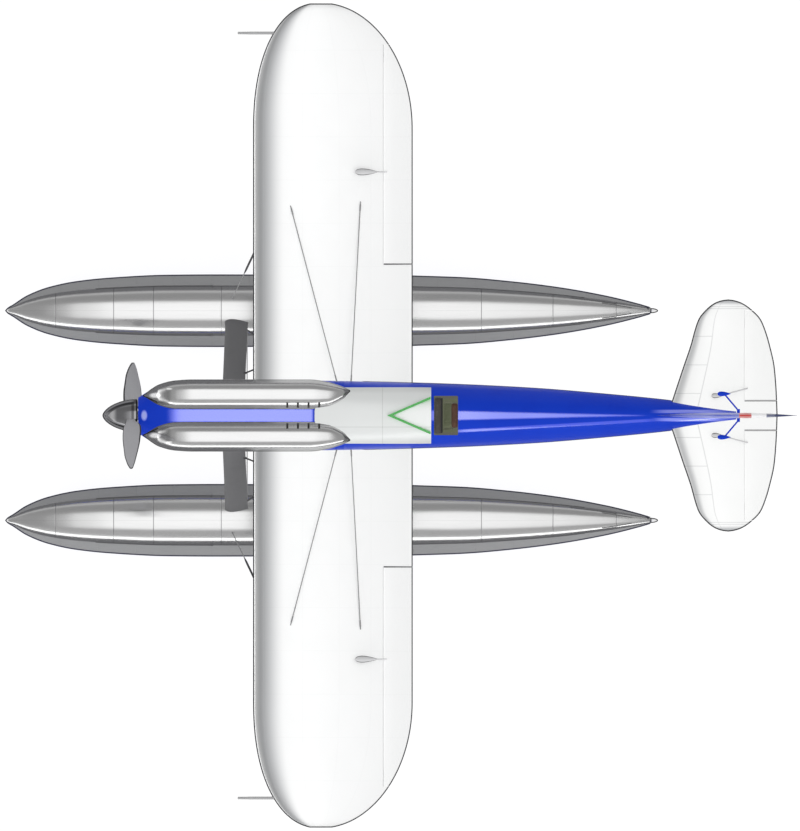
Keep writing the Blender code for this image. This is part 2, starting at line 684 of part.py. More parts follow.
def make_tail(envelopes):
    """Tailplane halves, elevators and rudder with their balance weights, and the fin."""
    for side, sign in SIDES.items():
        spans = [TOUCH / 2, 0.222, 0.524, 0.787, 0.955, 1.073, 1.130, 1.182, 1.220, 1.249, 1.275, 1.2868]
        half = panel_solid("tailplane_" + side, TAILPLANE, sign, spans, WHITE)
        start, end = ELEVATOR_SPAN
        bay = flap_bay("elevator_bay_" + side, TAILPLANE, ELEVATOR_HINGE_X,
                       np.linspace(start - HINGE_GAP, end + HINGE_GAP, 8), sign)
        cut(half, envelopes["body"], bay)
        elevator = flap("elevator_" + side, TAILPLANE, ELEVATOR_HINGE_X, np.linspace(start, end, 8), sign, WHITE)
        x, y, rise = ELEVATOR_WEIGHT
        weight = teardrop("elevator_weight_" + side, (x, sign * y, TAIL_Z + rise), *ELEVATOR_WEIGHT_SIZE, WHITE)
        foot_x, foot_y, knee_x, knee_y, knee_rise = ELEVATOR_ARM
        arm = tube("elevator_arm_" + side,
                   [(x + 0.030, sign * y, TAIL_Z + rise),
                    (knee_x, sign * knee_y, TAIL_Z + knee_rise),
                    (foot_x, sign * foot_y, TAIL_Z + ARM_FOOT_Z)],
                   ARM_RADIUS, WHITE, CUTTERS)
        join(elevator, weight, arm)
        hang(elevator, (ELEVATOR_HINGE_X, sign * start, TAIL_Z))

    fin = panel_solid("fin", FIN, 1, np.concatenate([np.linspace(2.420, 3.100, 9), [3.150, 3.190, 3.220]]), BLUE)
    rudder_spans = np.concatenate([np.linspace(RUDDER_FOOT_Z, 3.100, 8), [3.150, 3.190, 3.220]])
    bay = flap_bay("rudder_bay", FIN, RUDDER_HINGE_X, [2.300, *rudder_spans, FIN_TOP_Z + 0.060], 1, 0.9)
    (horn_front, horn_back), horn_half_width, horn_half_height = RUDDER_HORN_SIZE
    room = horn_half_height + RUDDER_HORN_CLEARANCE
    horn_slot = box("rudder_horn_slot", (RUDDER_HINGE_X - 0.058, -0.1, RUDDER_HORN_Z - room),
                    (RUDDER_HINGE_X + 0.1, 0.1, RUDDER_HORN_Z + room), BLUE, CUTTERS)
    foot_relief = box("fin_foot_relief", (STERN_X - 0.001, -0.1, 2.300),
                      (RUDDER_HINGE_X + 0.1, 0.1, 2.500), BLUE, CUTTERS)
    cut(fin, envelopes["body"], bay, horn_slot, foot_relief)
    rudder = flap("rudder", FIN, RUDDER_HINGE_X, rudder_spans, 1, WHITE)
    x, y = RUDDER_WEIGHT
    horn = box("rudder_horn",
               (RUDDER_HINGE_X + horn_front, -horn_half_width, RUDDER_HORN_Z - horn_half_height),
               (RUDDER_HINGE_X + horn_back, horn_half_width, RUDDER_HORN_Z + horn_half_height), BLUE, CUTTERS)
    pieces = [horn]
    for side, sign in SIDES.items():
        pieces.append(teardrop("rudder_weight_" + side, (x, sign * y, RUDDER_HORN_Z), *RUDDER_WEIGHT_SIZE,
                               BLUE))
        pieces.append(tube("rudder_arm_" + side,
                           [(x, sign * y, RUDDER_HORN_Z), (RUDDER_HINGE_X - 0.010, sign * 0.060, RUDDER_HORN_Z)],
                           ARM_RADIUS, BLUE, CUTTERS))
    join(rudder, *pieces)
    hang(rudder, (RUDDER_HINGE_X, 0.0, RUDDER_FOOT_Z))


def float_ring(row, sign, grow=0.0):
    """A float's section: veed bottom, chines, sides leaning in to the deck edges, and an arched deck."""
    x, half_beam, keel, chine, edge, top = row
    deck = DECK_EDGE_SHARE * half_beam
    arch = [(deck * math.cos(a), edge + (top - edge) * math.sin(a)) for a in np.linspace(0, math.pi / 2, 6)]
    half = [(0.5 * half_beam, keel + 0.44 * (chine - keel)), (half_beam, chine)] + arch
    outline = [(0.0, keel)] + half + [(-y, z) for y, z in half[-2::-1]]
    middle = (keel + top) / 2
    widen = 1 + grow / max(half_beam, 0.02)
    deepen = 1 + 2 * grow / max(top - keel, 0.04)
    return [(x, sign * FLOAT_Y + y * widen, middle + (z - middle) * deepen) for y, z in outline]


def float_stations(table, xs):
    return [(x, *smooth(table, x)) for x in xs]


def float_hull(name, sign, home=PARTS, grow=0.0):
    front = [NOSE_X, -4.375, -4.311, -4.235, -4.155, -4.040, -3.922, -3.770, -3.611, -3.420, -3.222, -2.920, -2.600,
             -2.300, -1.600, -0.800, STEP_X]
    back = [STEP_X, 0.450, 0.700, 0.970, 1.233, 1.500, 1.767, 2.030, 2.300, 2.480, 2.655, 2.790]
    rows = float_stations(FLOAT, front) + float_stations(FLOAT_AFTERBODY, back)
    return loft(name, [float_ring(row, sign, grow) for row in rows], SILVER, home)


def make_floats():
    """The two floats and the round cap on each stern."""
    for side, sign in SIDES.items():
        float_hull("float_" + side, sign)
        end = FLOAT_AFTERBODY[-1][0] + TOUCH
        angles = np.linspace(0.0, math.pi / 2, 5)
        profile = [(0.0, 0.0)] + [(STERN_CAP_LENGTH * math.sin(a), STERN_CAP_RADIUS * math.cos(a)) for a in angles]
        profile[-1] = (STERN_CAP_LENGTH, 0.0)
        turned("stern_cap_" + side, profile, WHITE, at=(end, sign * FLOAT_Y, STERN_CAP_Z), steps=12)


def strut_ring(centre, chord, thickness, normal):
    """A streamlined section across a strut: round in front, sharp behind."""
    share = (1 + np.cos(np.linspace(0.0, math.pi, 7))) / 2
    half = aerofoil(share, thickness / chord) * chord
    upper = [(chord * (s - 0.5), h) for s, h in zip(share, half)]
    outline = upper + [(x, -h) for x, h in upper[-2:0:-1]]
    return [tuple(Vector(centre) + Vector((x, 0.0, 0.0)) + normal * h) for x, h in outline]


def make_struts(envelopes):
    """Front and rear legs from the fuselage down to the floats."""
    for side, sign in SIDES.items():
        for name, (top, foot, chord, thickness) in (("front_strut", FRONT_STRUT), ("rear_strut", REAR_STRUT)):
            top = Vector((top[0], sign * top[1], top[2]))
            foot = Vector((foot[0], sign * foot[1], foot[2]))
            along = (foot - top).normalized()
            normal = along.cross(Vector((1.0, 0.0, 0.0))).normalized()
            leg = loft(name + "_" + side,
                       [strut_ring(top, chord, thickness, normal), strut_ring(foot, chord, thickness, normal)],
                       STRUT_GREY)
            cut(leg, envelopes["body"], envelopes["cowl"], envelopes["wing_" + side], envelopes["float_" + side])


# Bracing wires, starboard side: ends as (x, y, z), run a little into what they are fastened to.
WIRE_RADIUS = 0.006
FLYING_WIRE_RADIUS = 0.009
SPREADER_RADIUS = 0.008
WIRE_PLATE_X = (-0.730, -0.510)
WIRE_PLATE_Y = (0.300, 0.392)
WIRE_PLATE_Z = (2.300, 2.360)
LANDING_ROOT = ((-0.694, 0.350, 2.330), (-0.544, 0.350, 2.330))
LANDING_TIP = ((-1.2155, 2.328, 2.000), (-0.438, 2.374, 2.000))
FLYING_FRONT = ((-1.893, 1.247, 0.720), (-1.300, 2.475, 1.930))
FLYING_REAR = ((-0.330, 1.247, 0.720), (-0.450, 2.475, 1.930))
# The side wires cross in the plane through the strut feet and the lower fuselage.
SIDE_WIRES = (
    ((-1.790, 0.300, 1.848), (-0.370, 1.010, 0.720)),
    ((-1.790, 1.010, 0.720), (-0.700, 0.300, 1.848)),
)
SPREADER_X = (-1.690, -0.120)
SPREADER_Z = 0.720


def wire(name, ends, sign, home, radius=WIRE_RADIUS):
    points = [(x, sign * y, z) for x, y, z in ends]
    return tube(name, points, radius, DARK_STEEL, home, resolution=1)


def make_wires(envelopes):
    """Landing, flying, side and spreader wires."""
    for side, sign in SIDES.items():
        solids = (envelopes["body"], envelopes["cowl"], envelopes["wing_" + side], envelopes["float_" + side])
        low, high = sorted(sign * y for y in WIRE_PLATE_Y)
        plate = box("landing_wires_" + side, (WIRE_PLATE_X[0], low, WIRE_PLATE_Z[0]),
                    (WIRE_PLATE_X[1], high, WIRE_PLATE_Z[1]), DARK_STEEL)
        pair = [wire(f"landing_wire_{side}_{i}", (root, tip), sign, CUTTERS)
                for i, (root, tip) in enumerate(zip(LANDING_ROOT, LANDING_TIP))]
        join(plate, *pair)
        cut(plate, *solids)
        for name, ends in (("flying_wire_front", FLYING_FRONT), ("flying_wire_rear", FLYING_REAR)):
            cut(wire(name + "_" + side, ends, sign, PARTS, FLYING_WIRE_RADIUS), *solids)
        crossed = wire("side_wires_" + side, SIDE_WIRES[0], sign, PARTS)
        join(crossed, wire("side_wire_" + side, SIDE_WIRES[1], sign, CUTTERS))
        cut(crossed, *solids)
    for name, x in zip(("spreader_wire_front", "spreader_wire_rear"), SPREADER_X):
        line = tube(name, [(x, -FLOAT_Y, SPREADER_Z), (x, FLOAT_Y, SPREADER_Z)], SPREADER_RADIUS, DARK_STEEL,
                    resolution=1)
        cut(line, envelopes["float_port"], envelopes["float_starboard"])


def blade_ring(reach, grow=0.0):
    """The blade's section at a signed distance from the hub, turned by the pitch there."""
    r = abs(reach)
    chord, thick, behind = smooth(BLADE, r) + (2 * grow, 2 * grow, 0.0)
    angle = math.atan2(PROP_PITCH, 2 * math.pi * r)
    turn = angle if reach >= 0 else math.pi - angle
    chordwise = Vector((math.sin(turn), math.cos(turn), 0.0))
    across = Vector((-math.cos(turn), math.sin(turn), 0.0))
    ring = []
    for a in np.linspace(0.0, 2 * math.pi, 10, endpoint=False):
        ring.append(chordwise * (chord / 2 * math.cos(a)) + across * (thick / 2 * math.sin(a))
                    + Vector((behind, 0.0, reach)))
    return ring


def blades(name, paint, home, grow=0.0):
    """Both blades in one twisted slab through the hub, first upright, then leant over to port."""
    half = [0.10, 0.20, 0.29, 0.36, 0.42, 0.50, 0.62, 0.80, 1.00, 1.18, 1.32, 1.41, PROP_RADIUS]
    reaches = [-r for r in reversed(half)] + [0.0] + half
    lean = Matrix.Rotation(PROP_LEAN, 4, "X")
    place = Matrix.Translation((PROP_X, 0.0, THRUST_Z)) @ lean
    return loft(name, [[tuple(place @ p) for p in blade_ring(reach, grow)] for reach in reaches], paint, home)


def make_propeller():
    """Two-blade propeller with its spinner and shaft, turning about the thrust line."""
    hang(blades("propeller", PROP_GREY, PARTS), (PROP_X, 0.0, THRUST_Z))
    tip = SPINNER_BASE_X - SPINNER_TIP_X
    shares = np.linspace(0.0, 1.0, 11)
    profile = [(SPINNER_TIP_X + tip * s, SPINNER_RADIUS * (1 - (1 - s) ** 1.9) ** 0.60) for s in shares]
    profile[0] = (SPINNER_TIP_X, 0.0)
    profile.append((SPINNER_BASE_X, 0.0))
    cone = turned("spinner", profile, DARK_STEEL, at=(0.0, 0.0, THRUST_Z))
    cut(cone, blades("blade_slot", PROP_GREY, CUTTERS, 0.001))
    start = SPINNER_BASE_X + TOUCH
    shaft = [(start, 0.0), (start, SHAFT_RADIUS), (SHAFT_END_X, SHAFT_RADIUS), (SHAFT_END_X, 0.0)]
    turned("propeller_shaft", shaft, DARK_STEEL, at=(0.0, 0.0, THRUST_Z), steps=16)


def vee(name, thickness, low, front_top, rear_top, paint):
    """An upright V in plan, as a prism whose top slopes up from the apex to the rear ends."""
    apex_x, rear_x, rear_y = WINDSCREEN
    slant = math.hypot(rear_x - apex_x, rear_y)
    along = thickness / 2 * slant / rear_y
    across = thickness / 2 * slant / (rear_x - apex_x)
    plan = [(rear_x, rear_y + across), (apex_x - along, 0.0), (rear_x, -rear_y - across),
            (rear_x, -rear_y + across), (apex_x + along, 0.0), (rear_x, rear_y - across)]
    bottom = [(x, y, low) for x, y in plan]
    top = [(x, y, rear_top if x == rear_x else front_top) for x, y in plan]
    return loft(name, [bottom, top], paint)


def make_windscreen(envelopes):
    """Two panes in a V, on the strip that holds them to the deck."""
    frame = vee("windscreen_frame", WINDSCREEN_STRIP, DECK_BASE_Z + 0.1, WINDSCREEN_FOOT_Z, WINDSCREEN_FOOT_Z, GREEN)
    cut(frame, envelopes["body"])
    vee("windscreen_glass", WINDSCREEN_PANE, WINDSCREEN_FOOT_Z + TOUCH, WINDSCREEN_FOOT_Z + WINDSCREEN_APEX_RISE,
        WINDSCREEN_TOP_Z, GREEN)


def make_cockpit():
    """Padded hood, instrument panel, lined tub, seat and stick."""
    (_, low_y, floor), (high_x, high_y, roof) = TUB
    hood = box("cockpit_hood", (COCKPIT_FRONT_X + TOUCH, -HOOD_HALF_WIDTH, HOOD_Z[0]),
               (HOOD_REAR_X, HOOD_HALF_WIDTH, HOOD_Z[1]), LEATHER)
    rounding = hood.modifiers.new("rounding", "BEVEL")
    rounding.width = HOOD_ROUNDING
    rounding.segments = 3
    rounding.limit_method = "ANGLE"
    box("instrument_panel", *PANEL, DARK_STEEL)

    lining_top = floor + LINING_FLOOR
    lining = box("cockpit_lining", (LINING_FRONT_X, low_y + TOUCH, floor + TOUCH),
                 (high_x - TOUCH, high_y - TOUCH, roof - TOUCH), OLIVE)
    cut(lining, box("lining_room", (0.0, -LINING_HALF_ROOM, lining_top),
                    (SEAT_REAR_X + TOUCH, LINING_HALF_ROOM, OUTSIDE_Z), OLIVE, CUTTERS))

    seat = box("pilot_seat", (SEAT_FRONT_X, -SEAT_HALF_WIDTH, lining_top + TOUCH),
               (SEAT_REAR_X, SEAT_HALF_WIDTH, SEAT_PAN_Z), LEATHER)
    join(seat, box("seat_back", (SEAT_BACK_X, -SEAT_BACK_HALF_WIDTH, SEAT_BACK_FOOT_Z),
                   (SEAT_REAR_X, SEAT_BACK_HALF_WIDTH, SEAT_BACK_TOP_Z), LEATHER, CUTTERS))
    tube("control_stick", [(STICK_X, 0.0, floor + 0.003), (STICK_X + STICK_LEAN, 0.0, STICK_TOP_Z)], STICK_RADIUS,
         DARK_STEEL)


def main():
    make_fuselage()
    envelopes = make_envelopes()
    make_banks(envelopes)
    make_exhausts(envelopes)
    make_wings(envelopes)
    make_tail(envelopes)
    make_floats()
    make_struts(envelopes)
    make_wires(envelopes)
    make_propeller()
    make_windscreen(envelopes)
    make_cockpit()


main()
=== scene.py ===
"""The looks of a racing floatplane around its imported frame: nose towards -X, starboard towards +Y, +Z up, in metres."""

import json
import math

import bmesh
import bpy
import numpy as np
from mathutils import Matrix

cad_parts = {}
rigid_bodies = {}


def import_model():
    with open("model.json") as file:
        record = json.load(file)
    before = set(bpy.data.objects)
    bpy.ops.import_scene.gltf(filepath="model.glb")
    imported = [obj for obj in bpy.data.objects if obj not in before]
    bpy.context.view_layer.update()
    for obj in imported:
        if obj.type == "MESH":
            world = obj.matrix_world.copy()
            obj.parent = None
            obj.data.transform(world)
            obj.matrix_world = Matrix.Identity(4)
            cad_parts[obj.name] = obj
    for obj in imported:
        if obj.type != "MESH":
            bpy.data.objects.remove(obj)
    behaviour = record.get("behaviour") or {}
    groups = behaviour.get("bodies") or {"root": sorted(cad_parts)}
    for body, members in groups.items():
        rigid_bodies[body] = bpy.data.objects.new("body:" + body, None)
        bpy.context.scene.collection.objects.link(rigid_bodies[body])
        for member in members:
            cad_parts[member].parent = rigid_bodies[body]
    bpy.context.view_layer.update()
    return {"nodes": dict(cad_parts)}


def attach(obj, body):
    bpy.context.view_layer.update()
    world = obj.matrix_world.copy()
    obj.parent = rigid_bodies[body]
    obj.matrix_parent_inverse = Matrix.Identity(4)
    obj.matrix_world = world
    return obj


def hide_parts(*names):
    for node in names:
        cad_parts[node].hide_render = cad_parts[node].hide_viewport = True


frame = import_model()

# Each side of the aircraft and the sign of its Y.
SIDES = {"port": -1, "starboard": 1}

# The camera stands straight above the middle; one pixel of its picture is this much of the wing's plane.
PIXEL = 9.144 / 823
PICTURE = (800, 831)
LENS_MM = 1500.0
SENSOR_MM = 36.0
SCALE_PLANE_Z = 1.500

# The fuselage: its thrust line, the cowl's front with its lip, the deck's intake (half width, half height, level),
# where its parts meet, and the level of the deck's foot.
THRUST_Z = 2.280
COWL_FRONT_X = -2.903
COWL_LIP_SHARE = 0.93
INTAKE = (0.062, 0.038, 2.652)
DECK_LIP_X = -0.940
FIREWALL_X = -0.620
DECK_END_X = 0.345
CENTRE_END_X = 0.690
STERN_X = 3.725
DECK_BASE_Z = 2.600

# Fuselage sections: x, half width, bottom, widest height, top, power of the lower and of the upper half.
BODY = (
    (-2.903, 0.198, 2.082, 2.280, 2.478, 2.0, 2.0),
    (-2.755, 0.285, 1.960, 2.265, 2.500, 2.2, 2.4),
    (-2.420, 0.375, 1.845, 2.215, 2.540, 2.4, 3.2),
    (-1.667, 0.392, 1.760, 2.180, 2.640, 2.5, 3.2),
    (-0.940, 0.388, 1.738, 2.190, 2.710, 2.5, 2.9),
    (-0.200, 0.372, 1.745, 2.230, 2.775, 2.5, 2.6),
    (0.345, 0.356, 1.775, 2.270, 2.835, 2.5, 2.4),
    (0.689, 0.344, 1.805, 2.290, 2.885, 2.5, 2.2),
    (1.490, 0.303, 1.880, 2.310, 2.820, 2.4, 2.1),
    (2.289, 0.238, 1.960, 2.325, 2.720, 2.3, 2.0),
    (2.955, 0.172, 2.030, 2.320, 2.620, 2.2, 2.0),
    (3.755, 0.063, 2.090, 2.300, 2.510, 2.2, 2.0),
)
# Joints across the fuselage's skin.
BODY_JOINTS = (-2.42, -1.67, -0.94, -0.20, 0.345, 0.689, 1.49, 2.29, 2.955)
# What is cut out of the fuselage's centre: name, finish of the cut, lowest and highest corner, rounding.
CENTRE_CUTTERS = (
    ("deck_cutter", "blue", (FIREWALL_X - 0.1, -1, DECK_BASE_Z - 0.0003), (DECK_END_X, 1, 3.3), 0.0),
    ("opening_cutter", "olive", (0.376, -0.218, 2.3), (0.643, 0.218, 3.2), 0.012),
    ("tub_cutter", "olive", (-0.3, -0.24, 1.96), (0.67, 0.24, 2.58), 0.0),
)
# The trough between the cylinder banks: its level far back, how far it dips at the nose, and over what length.
TROUGH_Z = 2.565
TROUGH_DIP = 0.092
TROUGH_RUN = 0.200
# Cylinder bank fairings: x, inner edge, outer edge, middle height, half height.
BANK = (
    (-2.852, 0.213, 0.223, 2.450, 0.008),
    (-2.810, 0.194, 0.254, 2.470, 0.045),
    (-2.755, 0.160, 0.296, 2.500, 0.095),
    (-2.667, 0.113, 0.346, 2.545, 0.150),
    (-2.500, 0.074, 0.388, 2.595, 0.193),
    (-2.300, 0.070, 0.400, 2.610, 0.205),
    (-1.000, 0.070, 0.400, 2.615, 0.205),
    (-0.800, 0.090, 0.372, 2.620, 0.190),
    (-0.640, 0.170, 0.322, 2.640, 0.130),
    (-0.552, 0.262, 0.282, 2.650, 0.020),
)
BANK_POWER = 2.4
# Breather slots: where they lie, how far out they begin and end, and their width.
SLOT_X = np.linspace(-1.248, -0.895, 4)
SLOT_REACH = (0.084, 0.146)
SLOT_WIDTH = 0.022

# The wing, measured in plan from its middle; its tip is two superellipses that meet at the tip's X.
WING_Z = 1.870
DIHEDRAL = math.radians(2.0)
WING_LEAD_X = -1.631
WING_TRAIL_X = 0.141
WING_TIP_X = -0.883
WING_TIP_START = 3.183
WING_TIP_REACH = 1.400
HALF_SPAN = 4.572
WING_THICKNESS = 0.115
AILERON_HINGE_X = -0.178
AILERON_SPAN = (1.681, 4.111)
# Its balance weight: x, distance out and rise over the wing; its arm: x of the foot, x and rise of the knee.
AILERON_WEIGHT = (-0.367, 2.702, 0.226)
AILERON_ARM = (-0.146, -0.166, 0.110)
PITOT_Y = 4.244
PITOT = ((-1.790, 0.0), (-1.790, 0.005), (-1.801, 0.005), (-1.801, 0.0125), (-1.700, 0.0135), (-1.660, 0.0145),
         (-1.25, 0.0145), (-1.25, 0.0))

TAIL_Z = 2.420
# Tailplane with elevator: distance out, leading edge, trailing edge.
TAIL_OUTLINE = (
    (0.000, 2.960, 4.186),
    (0.222, 3.033, 4.178),
    (0.524, 3.133, 4.155),
    (0.787, 3.222, 4.099),
    (0.955, 3.268, 4.048),
    (1.073, 3.311, 3.995),
    (1.182, 3.400, 3.889),
    (1.249, 3.489, 3.789),
    (1.280, 3.578, 3.695),
    (1.2868, 3.637, 3.641),
)
TAIL_HALF_SPAN = TAIL_OUTLINE[-1][0]
TAIL_TIP_START = 1.100
TAIL_THICKNESS = 0.090
ELEVATOR_HINGE_X = 3.822
ELEVATOR_SPAN = (0.164, 1.161)
# Its balance weight: x, distance out and rise; its arm: x and distance out of the foot, and the same with rise of the
# knee.
ELEVATOR_WEIGHT = (3.515, 0.220, 0.215)
ELEVATOR_ARM = (3.850, 0.300, 3.822, 0.293, 0.110)
RUDDER_HINGE_X = 3.752
RUDDER_FOOT_Z = 2.555
FIN_FOOT_Z = 2.420
FIN_BEND_Z = 3.100
FIN_SKIN_TOP_Z = 3.220
FIN_TOP_Z = 3.240
# Between these levels the fin's back is open for the rudder's nose.
FIN_BAY = (2.300, 3.300)
FIN_FOOT_X = 2.744
TAIL_X = 4.400
FIN_HALF_THICKNESS = 0.031
# The rudder's horn and its two balance weights: level, then x and distance out.
RUDDER_HORN_Z = 2.820
RUDDER_WEIGHT = (3.590, 0.240)

FLOAT_Y = 1.168
STEP_X = 0.150
# Floats: x, half beam, keel, chine, deck edge, deck top, all measured from the floor.
FLOAT = (
    (-4.400, 0.001, 0.469, 0.470, 0.471, 0.472),
    (-4.375, 0.030, 0.440, 0.465, 0.482, 0.498),
    (-4.311, 0.070, 0.395, 0.450, 0.498, 0.535),
    (-4.155, 0.170, 0.300, 0.415, 0.525, 0.610),
    (-3.922, 0.262, 0.195, 0.370, 0.555, 0.685),
    (-3.611, 0.329, 0.100, 0.325, 0.580, 0.745),
    (-3.222, 0.370, 0.038, 0.285, 0.595, 0.780),
    (-2.600, 0.401, 0.004, 0.255, 0.600, 0.797),
    (-2.050, 0.405, 0.000, 0.250, 0.600, 0.800),
    (0.150, 0.393, 0.000, 0.250, 0.595, 0.790),
)
# The same behind the step.
FLOAT_AFTERBODY = (
    (0.150, 0.393, 0.070, 0.285, 0.595, 0.790),
    (0.700, 0.374, 0.142, 0.320, 0.587, 0.765),
    (1.233, 0.329, 0.212, 0.355, 0.577, 0.735),
    (1.767, 0.263, 0.282, 0.390, 0.563, 0.695),
    (2.300, 0.167, 0.352, 0.430, 0.545, 0.640),
    (2.655, 0.080, 0.405, 0.460, 0.530, 0.585),
    (2.790, 0.040, 0.440, 0.475, 0.517, 0.547),
)
DECK_EDGE_SHARE = 0.685
FLOAT_STERN_X = FLOAT_AFTERBODY[-1][0]
# Stern caps: level, length and radius.
STERN_CAP = (0.493, 0.085, 0.029)

# Struts: top, foot, chord, thickness.
FRONT_STRUT = ((-1.846, 0.270, 1.960), (-1.818, 1.085, 0.700), 0.250, 0.072)
REAR_STRUT = ((-0.744, 0.200, 1.870), (-0.211, 1.075, 0.690), 0.220, 0.066)

PROP_RADIUS = 1.450
PROP_X = -2.967
PROP_PITCH = 6.000
PROP_LEAN = math.radians(23.5)
# Propeller blade: distance from the hub, chord, thickness, how far its middle lies behind the hub's.
BLADE = (
    (0.000, 0.110, 0.080, -0.012),
    (0.200, 0.126, 0.070, -0.014),
    (0.290, 0.185, 0.062, -0.008),
    (0.420, 0.222, 0.050, -0.003),
    (0.600, 0.240, 0.036, 0.000),
    (0.900, 0.240, 0.024, 0.004),
    (1.100, 0.208, 0.019, 0.007),
    (1.250, 0.160, 0.015, 0.009),
    (1.380, 0.098, 0.011, 0.011),
    (1.450, 0.030, 0.007, 0.012),
)
SPINNER_TIP_X = -3.300
SPINNER_BASE_X = -2.915
SPINNER_RADIUS = 0.184

# Joints of the wing skin: where the ribs start along the span and how far apart they are, and spars by chord share.
RIB_START = 149 * PIXEL
RIB_SPACING = 43.2 * PIXEL
SPAR_SHARES = (0.07, 0.31, 0.54, 0.74)
# Joints of the tailplane skin: the spar by chord share, the ribs and the two lines of the tip by span.
TAIL_SPAR_SHARE = 0.26
TAIL_RIBS = (0.244, 0.561, 0.878)
TAIL_TIP_LINES = (1.185, 1.207)
# Joints across the float decks.
FLOAT_JOINTS = (-3.835, -3.188, -2.744, -1.989, 0.907, 1.704, 2.409)
# Rails along the deck edges: where each starts and ends, its radius, and how far inside the edge it lies.
DECK_RAILS = ((-3.389, -2.094, 0.0085, 0.004), (-2.094, 2.056, 0.0055, 0.004), (1.900, 2.410, 0.0055, 0.022),
              (2.250, 2.580, 0.0045, 0.036))

# Wires, front and rear: the landing wires' inner and outer ends, and the flying wires' ends at float and wing.
LANDING_ROOT = ((-0.694, 0.350, 2.330), (-0.544, 0.350, 2.330))
LANDING_TIP = ((-1.2155, 2.328, 2.054), (-0.438, 2.374, 2.023))
FLYING_WIRES = {"front": ((-1.893, 1.247, 0.720), (-1.300, 2.475, 1.930)),
                "rear": ((-0.330, 1.247, 0.720), (-0.450, 2.475, 1.930))}
# The crossed wires from the float to the fuselage's side, and the spreaders between the floats.
SIDE_WIRES = (((-1.790, 0.443, 1.690), (-0.370, 1.010, 0.720)), ((-1.790, 1.010, 0.720), (-0.700, 0.300, 1.848)))
SPREADER_X = {"front": -1.702, "rear": -0.120}
SPREADER_Y = 0.975
SPREADER_Z = 0.720
WIRE_FLATNESS = 0.5
# A wire's end: how far along it each point of the barrel lies, and its radius over the wire's.
BARREL = ((0.010, 0.9), (0.030, 1.0), (0.034, 1.5), (0.100, 1.5), (0.106, 1.1), (0.120, 0.8))

# Exhausts: where they lie, the strip's lowest and highest corner, and an outlet as distance out and radius.
EXHAUST_X = np.linspace(-2.30, -1.10, 6)
EXHAUST_Z = 2.370
EXHAUST_STRIP = ((-2.390, 0.300, 2.340), (-1.010, 0.382, 2.400))
EXHAUST_OUTLET = ((0.340, 0.0), (0.340, 0.0230), (0.390, 0.0235), (0.396, 0.0245), (0.3985, 0.0225), (0.396, 0.0195),
                  (0.350, 0.0190), (0.350, 0.0))

# Pads: lowest and highest corner, pinch, squareness, fullness, sewn channels and their depth.
HOOD_PAD = ((0.3765, -0.200, 2.585), (0.4610, 0.200, 2.765), 0.02, 8.0, 4.0, (-0.100, 0.0, 0.100), 0.004)
CUSHION = ((0.484, -0.140, 2.168), (0.578, 0.140, 2.240), 0.04, 6.0, 3.0, (-0.070, 0.0, 0.070), 0.005)
BACK_PAD = ((0.570, -0.136, 2.250), (0.641, 0.136, 2.702), 0.0, 7.0, 9.0, (-0.060, 0.0, 0.060), 0.003)
# Dials of the instrument panel: where they stand, then distance to starboard, height, radius and the hand's angle.
DIAL_X = 0.395
DIALS = (
    (-0.120, 2.500, 0.040, 0.6),
    (0.0, 2.510, 0.048, -0.9),
    (0.120, 2.500, 0.040, 2.4),
    (-0.062, 2.410, 0.034, 1.9),
    (0.062, 2.410, 0.034, -2.1),
    (-0.145, 2.405, 0.026, 0.2),
    (0.145, 2.405, 0.026, -0.4),
)
# The stick's ring grip: x, height, radius, thickness.
GRIP = (0.230, 2.300, 0.045, 0.010)

# Light: how bright each part of the surroundings shows in the polished skin, and the floor's own glow.
WINDOW_LIGHT = 1.55
PORT_STRIP_LIGHT = 1.9
STARBOARD_STRIP_LIGHT = 0.25
FRONT_STRIP_LIGHT = 1.3
RING_LIGHT = 0.42
BELOW_LIGHT = 0.16
DOME_LIGHT = 0.92
FLOOR_GLOW = 0.91
FLOOR_REACH = 150.0

# Colours that several finishes share.
# The dark of painted outlines and painted gap shadows: the shade where a surface turns under or a gap opens.
DARK_EDGE_SHADE = (0.020, 0.020, 0.024)
NAVY = (0.012, 0.013, 0.045)
UNLIT = (0.0, 0.0, 0.0)


